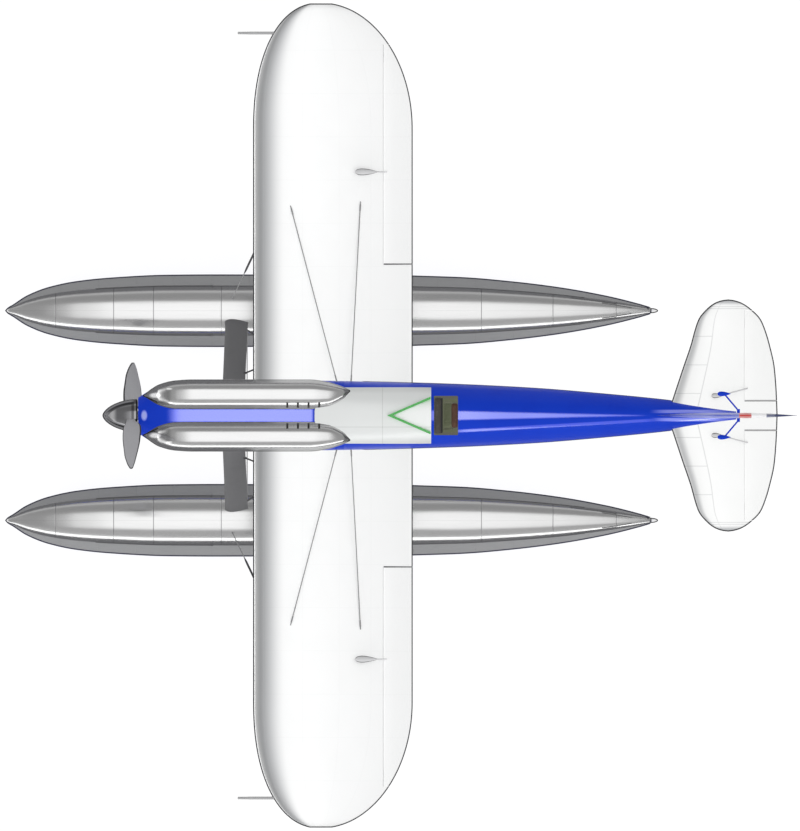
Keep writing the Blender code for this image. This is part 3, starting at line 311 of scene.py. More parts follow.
class Value:
    """A shader socket that does arithmetic: an operator adds its Math node to the recipe."""

    def __init__(self, recipe, socket):
        self.recipe = recipe
        self.socket = socket

    def maths(self, operation, *values):
        """The Math node of an operation on one or two values."""
        return self.recipe.node("Math", {"operation": operation}, values)

    def __add__(self, other):
        return self.maths("ADD", self, other)

    def __sub__(self, other):
        return self.maths("SUBTRACT", self, other)

    def __rsub__(self, other):
        return self.maths("SUBTRACT", other, self)

    def __mul__(self, other):
        return self.maths("MULTIPLY", self, other)

    def __truediv__(self, other):
        return self.maths("DIVIDE", self, other)

    __radd__ = __add__
    __rmul__ = __mul__

    def __abs__(self):
        return self.maths("ABSOLUTE", self)

    def over(self, other):
        """The larger of two values."""
        return self.maths("MAXIMUM", self, other)

    def rise(self, start, end):
        """0 before start and 1 after end, smooth between."""
        settings = {"interpolation_type": "SMOOTHSTEP"}
        return self.recipe.node("MapRange", settings, {"Value": self, "From Min": start, "From Max": end})

    def nearest(self, spacing):
        """The distance to the nearest multiple of a spacing."""
        steps = self / spacing + 0.5
        return abs(steps - self.maths("FLOOR", steps) - 0.5) * spacing

    def line(self, half_width):
        """1 where the value is near zero, 0 beyond a half width."""
        return 1 - abs(self).rise(half_width * 0.4, half_width)

    def lines(self, places, half_width):
        """The lines at several places together."""
        drawn = (self - places[0]).line(half_width)
        for place in places[1:]:
            drawn = drawn.over((self - place).line(half_width))
        return drawn

    def between(self, start, end, blur):
        """1 from start to end, with soft ends."""
        return self.rise(start - blur, start + blur) * (1 - self.rise(end - blur, end + blur))

    def spot(self, other, radius):
        """1 where both values are near zero: a round spot of a radius."""
        away = self.maths("SQRT", self * self + other * other)
        return 1 - away.rise(radius * 0.4, radius)


class Recipe:
    """A node tree with one method for every node: its type, its settings, and the values or links of its sockets."""

    def __init__(self, tree):
        self.tree = tree

    def node(self, kind, settings=(), inputs=(), output=0):
        """Makes a node and gives one of its outputs as a value."""
        made = self.tree.nodes.new("ShaderNode" + kind)
        for key, value in dict(settings).items():
            setattr(made, key, value)
        pairs = inputs.items() if isinstance(inputs, dict) else enumerate(inputs)
        for key, value in pairs:
            if isinstance(value, Value):
                self.tree.links.new(value.socket, made.inputs[key])
            else:
                made.inputs[key].default_value = value
        return Value(self, made.outputs[output])

    def show(self, value, kind):
        """Sends a shader to the tree's output."""
        self.tree.links.new(value.socket, self.tree.nodes.new("ShaderNode" + kind).inputs[0])

    def mix(self, share, first, second):
        """One colour going over to another."""
        return self.node("Mix", {"data_type": "RGBA"}, {0: share, 6: first, 7: second}, 2)

    def split(self, vector):
        """The three parts of a vector."""
        return [self.node("SeparateXYZ", {}, [vector], axis) for axis in range(3)]


class Finish(Recipe):
    """A material: a Principled shader, its fixed values, and what varies over the surface."""

    def __init__(self, name, colour, roughness, metallic=0.0, **fixed):
        self.material = bpy.data.materials.new(name)
        self.material.use_nodes = True
        super().__init__(self.material.node_tree)
        self.shader = self.tree.nodes["Principled BSDF"]
        self.colour = (*colour, 1.0)
        self.fix("Base Color", self.colour)
        self.fix("Roughness", roughness)
        self.fix("Metallic", metallic)
        for key, value in fixed.items():
            self.fix(key.replace("_", " "), value)
        self.here = self.node("TexCoord", {}, {}, "Object")
        self.x, self.y, self.z = self.split(self.here)

    def fix(self, socket, value):
        """Sets an input of the shader for the whole piece."""
        self.shader.inputs[socket].default_value = value

    def feed(self, socket, value):
        """Lets an input of the shader vary over the piece."""
        self.tree.links.new(value.socket, self.shader.inputs[socket])

    def chart(self):
        """The piece's own UV, as two values."""
        return self.split(self.node("UVMap", {"uv_map": "chart"}))[:2]

    def noise(self, scale, detail=3.0, stretch=None):
        """Cloudy variation from 0 to 1 on object coordinates, stretched along an axis where asked."""
        place = self.here
        if stretch:
            place = self.node("Mapping", {}, {"Vector": self.here, "Scale": stretch})
        return self.node("TexNoise", {}, {"Vector": place, "Scale": scale, "Detail": detail})

    def tint(self, share, colour, base=None):
        """A base, or else the finish's own colour, going over to another colour."""
        return self.mix(share, base or self.colour, (*colour, 1.0))

    def glow(self, share, colour, base=UNLIT):
        """Light of its own, where the drawing has a tone that no lamp gives."""
        self.fix("Emission Strength", 1.0)
        self.feed("Emission Color", self.tint(share, colour, (*base, 1.0)))

    def from_edge(self):
        """How far a point lies from its piece's outline, in metres, as the piece carries it."""
        return self.node("Attribute", {"attribute_name": "edge"}, {}, "Fac")

    def outlined(self, base, width, colour):
        """The base colour, with a narrow line of another colour along the outline seen from above: a painted dark
        line, the shade where the surface turns under, or on a float the navy of its bottom.
        """
        self.feed("Base Color", self.tint(1 - self.from_edge().rise(width * 0.65, width * 1.25), colour, base))

    def roughen(self, cloud, spread, middle):
        """Roughness that goes up and down by a spread about its middle, as a cloud from 0 to 1 does."""
        self.feed("Roughness", (cloud - 0.5) * spread + middle)

    def rivets(self, along, across, spacing):
        """A row of small heads: a spot at each multiple of a spacing along a line."""
        return along.nearest(spacing).spot(across, 0.0035)

    def bump(self, height, depth):
        """Relief of a depth in metres where the height goes from 0 to 1."""
        self.feed("Normal", self.node("Bump", {}, {"Strength": 1.0, "Distance": depth, "Height": height}))


def worn(finish, roughness, base=None):
    """Handling marks: cloudy roughness and, where no base colour is given, a faint change of tone."""
    cloud = finish.noise(6.0, 5.0)
    finish.roughen(cloud, 0.08, roughness)
    tone = tuple(part * 0.95 for part in finish.colour[:3])
    finish.feed("Base Color", finish.tint(cloud.rise(0.45, 0.75), tone) if base is None else base)
    return finish


def blue_enamel():
    """Deep enamel with riveted joints, its coat glossier in the trough, along the crest of the tail and beside the
    fin, where painted highlights brighten it and the trough glows.
    """
    blue = Finish("blue_enamel", (0.006, 0.044, 0.560), 0.34, Coat_IOR=2.9, Coat_Roughness=0.10,
                  Specular_IOR_Level=0.08)
    x, y, z = blue.x, blue.y, blue.z
    side = abs(y)
    trough = (1 - side.rise(0.058, 0.078)) * x.rise(-2.60, -2.42) * (1 - x.rise(-0.99, -0.95))
    # A painted highlight: a round spot on the cowl's nose.
    nose = ((x + 2.835) * 1.7).spot(y, 0.070)
    crest = (1 - (side - (2.78 - x) * 0.0235).rise(-0.016, 0.010)) * x.between(0.33, 2.68, 0.10)
    second = (y + 0.172 - (x - 0.64) * 0.0557).line(0.022) * x.between(0.64, 2.80, 0.14)
    # Painted highlight bands on both sides of the fin's foot.
    root = (side - 0.045).line(0.024) * x.rise(2.75, 3.00) * (1 - x.rise(3.30, 3.76))
    above = z.rise(2.36, 2.40)
    # Where the coat is glossier, the base is also painted brighter as a highlight.
    wax_and_highlight = trough.over(nose).over(crest).over(second * 0.55).over(root) * above
    sides = (1 - z.rise(2.22, 2.32)).over(z.rise(2.92, 3.02))
    blue.feed("Coat Weight", wax_and_highlight * 0.96 + sides * 0.35)
    # Painted light: the trough glows blue of its own.
    blue.glow(trough * above, (0.0, 0.01, 0.22))
    low = 1 - z.rise(2.30, 2.34)
    uprights = x.lines(BODY_JOINTS, 0.004)
    waist = (z - 2.150).line(0.004)
    joints = uprights.over(waist) * low
    heads = blue.rivets(x, z - 2.166, 0.040).over(blue.rivets(x, z - 2.134, 0.040)) * low
    blue.bump(heads - joints, 0.0012)
    deep = blue.tint(blue.noise(2.5).rise(0.4, 0.8) * 0.5, (0.005, 0.032, 0.480))
    # Painted highlights: brighter blue where the coat is glossier, lavender on the nose spot and beside the fin.
    deep = blue.tint(wax_and_highlight, (0.030, 0.080, 1.000), deep)
    deep = blue.tint(nose * 0.8 + root * above * 0.35, (0.420, 0.480, 1.000), deep)
    deep = blue.tint(joints * 0.6, (0.002, 0.010, 0.140), deep)
    return worn(blue, 0.34, base=deep)


def polished_alloy(name="polished_alloy", line_width=0.011, line_colour=(0.050, 0.050, 0.054), joints=()):
    """Bright sheet with fine marks of polishing along the length and a line along its outline: painted shade on a
    fairing, the navy of the bottom on a float.

    With joints it is a float's deck; without, a bank fairing: painted shade in grey on its inner side and near its
    front, and a painted glint, with light of its own, on its nose.
    """
    alloy = Finish(name, (0.640, 0.640, 0.640), 0.22, 1.0)
    grain = alloy.noise(40.0, 4.0, (0.06, 1.0, 1.0))
    alloy.roughen(grain, 0.10, 0.21)
    base = alloy.tint(alloy.noise(3.0).rise(0.45, 0.80) * 0.06, (0.50, 0.50, 0.52))
    height = grain * 0.25
    if joints:
        seams = alloy.x.lines(joints, 0.0055)
        centre = (abs(alloy.y) - FLOAT_Y).line(0.005)
        base = alloy.tint(seams * 0.42 + centre * 0.06, (0.10, 0.10, 0.11), base)
        height = height - seams
    else:
        side = abs(alloy.y)
        # Painted shade: the inner side, beside the trough, is grey and less metallic.
        inner = 1 - side.rise(0.100, 0.122)
        alloy.feed("Metallic", 1 - inner * 0.85)
        base = alloy.tint(inner, (0.235, 0.235, 0.245), base)
        # Painted shade near the front, and a painted glint on the nose that glows of its own.
        shade = alloy.x.between(-2.655, -2.545, 0.030) * (1 - abs(side - 0.215).rise(0.050, 0.100))
        glint = ((alloy.x + 2.715) * 0.45).spot(side - 0.223, 0.036)
        glint = glint.over(((alloy.x + 2.555) * 0.30).spot(side - 0.295, 0.013) * 0.7)
        base = alloy.tint(shade * 0.55, (0.20, 0.20, 0.205), base)
        base = alloy.tint(glint, (1.0, 1.0, 1.0), base)
        alloy.glow(glint, (0.45, 0.45, 0.45))
    alloy.bump(height, 0.0008)
    alloy.outlined(base, line_width, line_colour)
    return alloy


def wing_white():
    """Satin white over sheet metal: nearly metallic along the leading edge, painted shade in a grey band behind it, a
    painted dark outline and gap shadow, and faint joints of the skin panels.
    """
    white = Finish("wing_white", (0.950, 0.955, 0.955), 0.30, 0.4)
    share, span = white.chart()
    edge = 1 - share.rise(0.04, 0.17)
    white.feed("Metallic", edge * 0.55 + 0.36)
    ribs = (span - RIB_START).nearest(RIB_SPACING).line(0.006)
    seam = ribs.over(share.lines(SPAR_SHARES, 0.0034))
    # Painted shade: a grey band just behind the leading edge.
    shade = share.rise(0.006, 0.050) * (1 - share.rise(0.075, 0.200))
    base = white.tint(shade * 0.62, (0.36, 0.37, 0.385))
    base = white.tint(seam * 0.035, (0.40, 0.41, 0.42), base)
    # Painted shadow: a dark line on the fixed wing beside the aileron's inner end, where the gap is.
    strip = (span - AILERON_SPAN[0]).line(0.011) * white.x.rise(AILERON_HINGE_X - 0.006, AILERON_HINGE_X)
    base = white.tint(strip, DARK_EDGE_SHADE, base)
    waves = (span.nearest(0.012) * 83.0).rise(0.0, 0.5)
    white.bump(waves * 0.12 - seam * 0.3, 0.0006)
    # A painted dark outline, the shade where the skin turns under.
    white.outlined(base, 0.0135, DARK_EDGE_SHADE)
    white.roughen(white.noise(5.0, 5.0), 0.08, 0.30)
    return white


def tail_white():
    """Satin white of the tailplane: painted shade in grey behind its leading edge and over its tip, a painted dark
    outline and gap shadow, its spar, ribs and two tip lines.
    """
    white = Finish("tail_white", (0.950, 0.955, 0.950), 0.30, 0.3)
    share, span = white.chart()
    shade = share.rise(0.002, 0.040) * (1 - share.rise(0.045, 0.120)) * 0.72
    tip = span.rise(1.215, 1.262)
    forward = 1 - share.rise(TAIL_SPAR_SHARE - 0.004, TAIL_SPAR_SHARE + 0.004)
    ribs = span.lines(TAIL_RIBS, 0.006) * forward
    spar = (share - TAIL_SPAR_SHARE).line(0.0075)
    seam = ribs.over(spar).over(span.lines(TAIL_TIP_LINES, 0.006))
    # Painted shade: grey behind the leading edge and over the tip.
    base = white.tint(shade.over(tip) * 0.66, (0.28, 0.29, 0.31))
    base = white.tint(seam * 0.32, (0.30, 0.31, 0.32), base)
    # Painted shadow: a dark line on the fixed tailplane beside the elevator's inner end, where the gap is.
    strip = (span - ELEVATOR_SPAN[0]).line(0.011) * white.x.rise(ELEVATOR_HINGE_X - 0.006, ELEVATOR_HINGE_X)
    base = white.tint(strip, DARK_EDGE_SHADE, base)
    white.bump(seam * -0.6, 0.0006)
    white.outlined(base, 0.0145, DARK_EDGE_SHADE)
    white.roughen(white.noise(5.0, 5.0), 0.08, 0.30)
    return white


def deck_white():
    """Satin white of the deck: painted shade towards its edges and in a line along it, brighter inside the
    windscreen's V, and one joint across it.
    """
    white = Finish("deck_white", (0.800, 0.818, 0.812), 0.40, 0.12)
    side = abs(white.y)
    cross = (white.x + 0.193).line(0.006)
    along = (white.y + 0.128).line(0.010)
    # Painted shade towards both edges.
    base = white.tint(side.rise(0.235, 0.300) * 0.30, (0.45, 0.47, 0.45))
    screen = ((white.x + 0.115) * 0.434 - side).rise(0.0, 0.012)
    base = white.tint(screen * 0.9, (0.960, 0.970, 0.970), base)
    # The line along the port side is painted shade; the one across is a joint.
    base = white.tint(along * 0.22 + cross * 0.35, (0.40, 0.42, 0.40), base)
    white.bump(cross * -1.0, 0.0006)
    white.feed("Base Color", base)
    white.roughen(white.noise(5.0, 5.0), 0.08, 0.40)
    return white


def float_side_grey():
    """Flat grey paint of the float sides over riveted frames, navy along the chines."""
    grey = Finish("float_side_grey", (0.300, 0.303, 0.310), 0.50)
    frames = grey.x.nearest(0.42).line(0.004)
    heads = grey.rivets(grey.z, grey.x.nearest(0.42) - 0.014, 0.030)
    grey.bump(heads - frames, 0.0010)
    base = grey.tint(grey.noise(4.0, 5.0).rise(0.45, 0.80) * 0.4, (0.270, 0.273, 0.282))
    base = grey.tint(frames * 0.12, (0.15, 0.15, 0.16), base)
    grey.outlined(base, 0.0150, NAVY)
    grey.roughen(grey.noise(9.0, 4.0), 0.12, 0.50)
    return grey


def blade_grey():
    """Matt dark alloy of the propeller, with a painted darker line round its edge, the shade where it turns under."""
    grey = Finish("blade_grey", (0.400, 0.400, 0.420), 0.45)
    grain = grey.noise(60.0, 3.0, (1.0, 1.0, 0.08))
    grey.bump(grain, 0.0003)
    base = grey.tint(grain.rise(0.4, 0.8) * 0.3, (0.360, 0.360, 0.380))
    grey.outlined(base, 0.0140, (0.012, 0.012, 0.014))
    grey.roughen(grain, 0.12, 0.45)
    return grey


def weight_grey():
    """Pale painted weights, with painted shade in a dark line where they turn under."""
    grey = Finish("weight_grey", (0.640, 0.640, 0.650), 0.38)
    base = grey.tint(grey.noise(12.0).rise(0.45, 0.80) * 0.3, (0.560, 0.560, 0.570))
    grey.outlined(base, 0.0080, (0.040, 0.040, 0.044))
    return grey


def cap_white():
    """White rubber of the stern caps with a painted dark line round it, the shade where it turns under."""
    white = Finish("cap_white", (0.930, 0.930, 0.930), 0.45)
    white.bump(white.noise(80.0), 0.0003)
    white.outlined(white.tint(white.noise(20.0) * 0.2, (0.86, 0.86, 0.85)), 0.0120, (0.010, 0.010, 0.012))
    return white


def spinner_alloy():
    """Dark polished metal with painted reflections, a pale rim with a dark ring inside it and a bright patch near the
    tip, painted shade at its foot and on its black back, and a painted dark outline.
    """
    metal = Finish("spinner_alloy", (0.270, 0.270, 0.280), 0.12, 1.0)
    edge = metal.from_edge()
    # Painted reflections: a bright patch near the tip, a dark ring and a pale rim.
    base = metal.tint(metal.x.between(-3.225, -3.160, 0.030) * edge.rise(0.030, 0.070), (0.85, 0.85, 0.86))
    base = metal.tint(edge.between(0.034, 0.062, 0.008), (0.11, 0.11, 0.115), base)
    base = metal.tint(1 - edge.rise(0.024, 0.034), (0.90, 0.90, 0.90), base)
    # Painted shade at the foot and, black, on the back that faces the cowl.
    base = metal.tint(metal.x.rise(-2.985, -2.930) * 0.8, (0.12, 0.12, 0.125), base)
    back = metal.x.rise(-2.9158, -2.9145)
    metal.feed("Metallic", 1 - back)
    base = metal.tint(back, (0.012, 0.012, 0.014), base)
    metal.outlined(base, 0.0120, DARK_EDGE_SHADE)
    turning = metal.noise(50.0, 3.0, (1.0, 0.06, 0.06))
    metal.roughen(turning, 0.06, 0.14)
    metal.bump(turning, 0.0002)
    return metal


def rudder_stripes():
    """Red, white and blue bands one behind the other, with soft ends, over fine ribs."""
    paint = Finish("rudder_stripes", (0.560, 0.030, 0.025), 0.30)
    x = paint.x
    base = paint.tint(x.rise(3.884, 3.892), (0.90, 0.90, 0.92))
    base = paint.tint(x.rise(4.050, 4.060), (0.010, 0.025, 0.150), base)
    ribs = (paint.z - 2.6).nearest(0.110).line(0.005)
    paint.bump(ribs, 0.0010)
    paint.feed("Base Color", base)
    paint.roughen(paint.noise(6.0), 0.08, 0.30)
    return paint


def hide(name, colour, worn_colour, roughness=0.55, glow=None):
    """Leather or sewn canvas: a fine pebbled grain, paler and smoother where it is rubbed; given a glow, it also has
    painted light of its own, stronger where rubbed.
    """
    leather = Finish(name, colour, roughness)
    grain = leather.node("TexVoronoi", {"feature": "SMOOTH_F1"}, {"Vector": leather.here, "Scale": 340.0})
    creases = leather.noise(26.0, 6.0)
    leather.bump(grain * 0.6 + creases * 0.8, 0.0014)
    rubbed = creases.rise(0.50, 0.72)
    leather.feed("Base Color", leather.tint(rubbed, worn_colour))
    leather.feed("Roughness", rubbed * -0.14 + roughness)
    # Painted light: the surface glows of its own, more where it is rubbed.
    if glow:
        leather.glow(rubbed * 0.5, glow, tuple(0.8 * part for part in glow))
    return leather


def lining_olive():
    """Olive primer of the cockpit's inside: grey-olive at the rims, greener at the bottom and lit there by painted
    light of its own, chipped and rubbed.
    """
    olive = Finish("lining_olive", (0.110, 0.110, 0.082), 0.60)
    low = 1 - olive.z.rise(2.05, 2.50)
    base = olive.tint(low, (0.100, 0.112, 0.062))
    # Painted light: the deep bottom glows faintly of its own.
    olive.glow(low, (0.014, 0.016, 0.008))
    base = olive.tint(olive.noise(30.0, 6.0).rise(0.62, 0.72) * 0.4, (0.20, 0.20, 0.16), base)
    olive.feed("Base Color", base)
    olive.bump(olive.noise(120.0, 2.0), 0.0004)
    olive.roughen(olive.noise(12.0), 0.15, 0.60)
    return olive


def plain(name, colour, roughness, metallic=0.0, **fixed):
    """A finish with no pattern but wear."""
    return worn(Finish(name, colour, roughness, metallic, **fixed), roughness)


# Finishes with no pattern but wear: the material's name, colour, roughness and metallic share.
PLAIN_FINISHES = {
    # The coolers' dark steel also gives a dark line along the fuselage's sides seen from above, painted shade there.
    "cooler": ("cooler_blue_steel", (0.030, 0.036, 0.075), 0.35, 0.5),
    "strut": ("strut_grey", (0.150, 0.150, 0.156), 0.50),
    "steel": ("wire_steel", (0.300, 0.300, 0.305), 0.40, 0.5),
    "wire": ("bright_wire", (0.300, 0.300, 0.305), 0.40, 0.2),
    "sleeve": ("wire_sleeve", (0.050, 0.050, 0.054), 0.45),
    "pale": ("pale_weight", (0.620, 0.620, 0.630), 0.40),
    "soot": ("exhaust_steel", (0.120, 0.100, 0.090), 0.55, 0.7),
    # Black stands in for shade: in the breather slots, the intake's mouth and the gap behind the hood.
    "black": ("slot_black", (0.010, 0.010, 0.010), 0.60),
    "rail": ("deck_rail", (0.120, 0.120, 0.126), 0.40, 0.3),
    "dial": ("dial_face", (0.015, 0.015, 0.016), 0.35),
    "white": ("dial_white", (0.850, 0.850, 0.820), 0.50),
    "green": ("green_rim", (0.070, 0.430, 0.085), 0.35),
}
FINISHES = {}


def finish_of(name):
    """The material of a finish, by its short name."""
    return FINISHES[name].material


def make_finishes():
    """Every finish once, by the short name that the pieces call it."""
    FINISHES.update(
        blue=blue_enamel(), alloy=polished_alloy(), wing=wing_white(), tail=tail_white(), deck=deck_white(),
        float_deck=polished_alloy("float_deck_alloy", 0.0120, NAVY, FLOAT_JOINTS), side=float_side_grey(),
        blade=blade_grey(), spinner=spinner_alloy(), stripes=rudder_stripes(), weight=weight_grey(), cap=cap_white(),
        olive=lining_olive(), glass=plain("green_glass", (0.250, 0.800, 0.300), 0.05, Alpha=0.10),
        leather=hide("brown_leather", (0.072, 0.024, 0.007), (0.096, 0.036, 0.012)),
        hood=hide("hood_leather", (0.048, 0.040, 0.034), (0.075, 0.066, 0.055)),
        # The cushion's canvas glows faintly of its own: painted light.
        canvas=hide("olive_hide", (0.085, 0.098, 0.052), (0.105, 0.118, 0.066), 0.70, (0.022, 0.025, 0.013)))
    for name, values in PLAIN_FINISHES.items():
        FINISHES[name] = plain(*values)


def smooth(table, x):
    """The columns of a table at each x: cubics between rows whose slopes never overshoot them."""
    rows = np.array(table, float)
    xs, values = rows[:, 0], rows[:, 1:]
    steps = np.diff(xs)[:, None]
    chords = np.diff(values, axis=0) / steps
    before, after = chords[:-1], chords[1:]
    same_way = before * after > 0
    total = np.where(same_way, before + after, 1.0)
    slopes = np.vstack([chords[:1], np.where(same_way, 2 * before * after / total, 0.0), chords[-1:]])
    x = np.atleast_1d(np.asarray(x, float))
    i = np.clip(np.searchsorted(xs, x) - 1, 0, len(xs) - 2)
    t = np.clip((x - xs[i]) / (xs[i + 1] - xs[i]), 0.0, 1.0)[:, None]
    start = (1 + 2 * t) * (1 - t) ** 2 * values[i] + t * (1 - t) ** 2 * steps[i] * slopes[i]
    end = t**2 * (3 - 2 * t) * values[i + 1] - t**2 * (1 - t) * steps[i] * slopes[i + 1]
    return start + end


class Piece:
    """Points, faces and UV of one piece, gathered from grids and then made one mesh that rides on a body."""

    def __init__(self, *finishes):
        self.finishes = finishes
        self.points = []
        self.faces = []
        self.corners = []
        self.paints = []
        self.edges = []
        self.count = 0

    def grid(self, points, wrap=False, capped=False, chart=None, paint=0, edge=1.0):
        """Quads over a grid (rows, columns, 3); wrap joins the last column to the first, capped closes both ends.

        The chart is the UV of each point; by default it runs from 0 to 1 along the rows and along the columns. The
        edge is how far each point lies from the outline, 1 where none is drawn.
        """
        points = np.asarray(points, float)
        rows, columns = points.shape[:2]
        index = np.arange(rows * columns).reshape(rows, columns) + self.count
        if chart is None:
            down, across = np.meshgrid(np.linspace(0, 1, rows), np.linspace(0, 1, columns + wrap), indexing="ij")
            chart = np.stack([down, across], -1)
        if wrap:
            index = np.hstack([index, index[:, :1]])
            if chart.shape[1] == columns:
                chart = np.concatenate([chart, chart[:, :1]], 1)
        around = [(slice(None, -1), slice(None, -1)), (slice(None, -1), slice(1, None)),
                  (slice(1, None), slice(1, None)), (slice(1, None), slice(None, -1))]
        quads = np.stack([index[a] for a in around], -1).reshape(-1, 4)
        self.faces += quads.tolist()
        self.corners.append(np.stack([chart[a] for a in around], -2).reshape(-1, 2))
        if np.ndim(paint):
            self.paints += np.broadcast_to(paint, (rows - 1, index.shape[1] - 1)).reshape(-1).tolist()
        else:
            self.paints += [paint] * len(quads)
        if capped:
            for row in (0, -1):
                self.faces.append(index[row, :columns].tolist())
                self.corners.append(chart[row, :columns])
                self.paints.append(self.paints[-1] if np.ndim(paint) else paint)
        self.points.append(points.reshape(-1, 3))
        self.edges.append(np.broadcast_to(edge, (rows, columns)).reshape(-1))
        self.count += rows * columns
        return self

    def closed(self, points, **more):
        """A grid whose last column joins the first and whose two ends are closed."""
        return self.grid(points, wrap=True, capped=True, **more)

    def made(self, name, body="airframe", replaces=(), slot=None, sharp=35.0, weld=1e-6, outline=None):
        """The mesh, welded, turned outwards and smooth but for sharp edges, riding on its body."""
        mesh = bpy.data.meshes.new(name)
        mesh.from_pydata(np.concatenate(self.points).tolist(), [], self.faces)
        mesh.uv_layers.new(name="chart")
        mesh.uv_layers["chart"].data.foreach_set("uv", np.concatenate(self.corners).astype(np.float32).reshape(-1))
        for finish in self.finishes:
            mesh.materials.append(finish_of(finish))
        mesh.polygons.foreach_set("material_index", self.paints)
        mesh.attributes.new("edge", "FLOAT", "POINT").data.foreach_set("value", np.concatenate(self.edges))
        shape = bmesh.new()
        shape.from_mesh(mesh)
        bmesh.ops.remove_doubles(shape, verts=shape.verts, dist=weld)
        bmesh.ops.dissolve_degenerate(shape, edges=shape.edges, dist=1e-7)
        bmesh.ops.recalc_face_normals(shape, faces=shape.faces)
        shape.to_mesh(mesh)
        shape.free()
        mesh.shade_smooth()
        mesh.set_sharp_from_angle(angle=math.radians(sharp))
        piece = bpy.data.objects.new(name, mesh)
        bpy.context.scene.collection.objects.link(piece)
        if outline is not None:
            mark_outline(piece, outline)
        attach(piece, body)
        if replaces:
            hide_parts(*replaces)
        return piece


def mark_outline(piece, outline):
    """Gives each vertex its distance, seen from above, to the nearest side of a closed outline.

    For each side it is the distance to the foot of the perpendicular, held between the side's ends; the least counts.
    """
    place = np.empty(len(piece.data.vertices) * 3, np.float32)
    piece.data.vertices.foreach_get("co", place)
    start = np.asarray(outline, np.float32)
    run = np.roll(start, -1, axis=0) - start
    squared = np.maximum((run**2).sum(1), 1e-12)
    offset = place.reshape(-1, 1, 3)[:, :, :2] - start
    share = np.clip((offset * run).sum(-1) / squared, 0.0, 1.0)
    gap = np.linalg.norm(offset - share[..., None] * run, axis=-1).min(axis=1)
    piece.data.attributes["edge"].data.foreach_set("value", gap)


def carve(piece, *cutters):
    """Cuts other pieces out of one; the new faces keep the cutter's finish, and the cutters go."""
    for cutter in cutters:
        step = piece.modifiers.new(cutter.name, "BOOLEAN")
        step.operation = "DIFFERENCE"
        step.solver = "EXACT"
        step.material_mode = "TRANSFER"
        step.object = cutter
    graph = bpy.context.evaluated_depsgraph_get()
    graph.update()
    mesh = bpy.data.meshes.new_from_object(piece.evaluated_get(graph))
    piece.modifiers.clear()
    piece.data = mesh
    mesh.shade_smooth()
    mesh.set_sharp_from_angle(angle=math.radians(35.0))
    for cutter in cutters:
        bpy.data.objects.remove(cutter)
    return piece


def turns(count):
    """Angles once round, evenly spaced."""
    return np.linspace(0.0, 2 * math.pi, count, endpoint=False)


def sections(xs, y, z):
    """Points of sections across X: one x for each row of y and z."""
    return np.stack(np.broadcast_arrays(xs[:, None], y, z), -1)


def bulge(value, exponent):
    """A value to a power that keeps its sign, as superellipses need."""
    return np.sign(value) * np.abs(value) ** exponent


def tip_stations(start, bend, end, even, closing):
    """Even stations from start to bend, then ones that close up towards the end as a sine does."""
    rise = np.sin(np.linspace(0.0, math.pi / 2, closing)[1:])
    return np.concatenate([np.linspace(start, bend, even), bend + (end - bend) * rise])


def round_trip(out, back):
    """A closed outline in plan: along one line of x and y, and back along another."""
    return np.concatenate([np.column_stack(out), np.column_stack(back)[::-1]])


def from_rim(radius, sides=20):
    """How far the points of a round section lie inside its outline seen from above: r (1 - |cos t|)."""
    return radius * (1 - np.abs(np.cos(turns(sides))))[None, :]


def unit(vectors):
    """Vectors divided by their lengths."""
    return vectors / np.linalg.norm(vectors, axis=-1, keepdims=True)


def swept(path, radius, sides=12, flat=1.0, upright=(0.0, 0.0, 1.0)):
    """A round or flattened section carried along a path: at each point, the circle across the path's direction."""
    path = np.asarray(path, float)
    heading = unit(np.gradient(path, axis=0))
    across = np.cross(heading, np.array(upright))
    weak = np.linalg.norm(across, axis=1, keepdims=True) < 1e-3
    across = unit(np.where(weak, np.cross(heading, np.array([0.0, 1.0, 0.0])), across))
    up = np.cross(across, heading)
    angle = turns(sides)[None, :, None]
    radius = np.broadcast_to(np.asarray(radius, float), (len(path),))[:, None, None]
    ring = np.cos(angle) * across[:, None] + flat * np.sin(angle) * up[:, None]
    return path[:, None] + radius * ring


def turned(profile, at=(0.0, 0.0, 0.0), axis=(1.0, 0.0, 0.0), sides=48):
    """A profile of (along, radius) turned about an axis through a point."""
    profile = np.asarray(profile, float)
    axis = unit(np.array(axis, float))
    helper = np.array([0.0, 0.0, 1.0]) if abs(axis[2]) < 0.9 else np.array([1.0, 0.0, 0.0])
    first = unit(np.cross(axis, helper))
    second = np.cross(axis, first)
    angle = turns(sides)[None, :, None]
    out = np.cos(angle) * first + np.sin(angle) * second
    return np.array(at) + profile[:, 0, None, None] * axis + profile[:, 1, None, None] * out


def slab(low, high, rounding=0.0, count=48):
    """A block whose outline from above is a rounded rectangle and whose top and bottom edges are rounded too.

    At turn t a point is the sign of (cos t, sin t) times the half size less the rounding, plus the rounding times
    |cos t|, |sin t|; the rows at the top and bottom step inwards.
    """
    low, high = np.array(low, float), np.array(high, float)
    middle, half = (low + high) / 2, (high - low) / 2
    angle = turns(count) + math.pi / count
    turn = np.column_stack([np.cos(angle), np.sin(angle)])
    level, inset = np.array([(-1, 1.0), (-1, 0.3), (-0.7, 0.0), (0.7, 0.0), (1, 0.3), (1, 1.0)]).T[:, :, None, None]
    reach = half[:2] - rounding * (1 + 0.35 * inset) + rounding * (1 - 0.3 * inset) * np.abs(turn)
    plan = middle[:2] + np.sign(turn) * reach
    z = middle[2] + np.sign(level) * (half[2] - rounding * (1 - np.abs(level)))
    return np.concatenate([plan, np.broadcast_to(z, (*plan.shape[:2], 1))], -1)


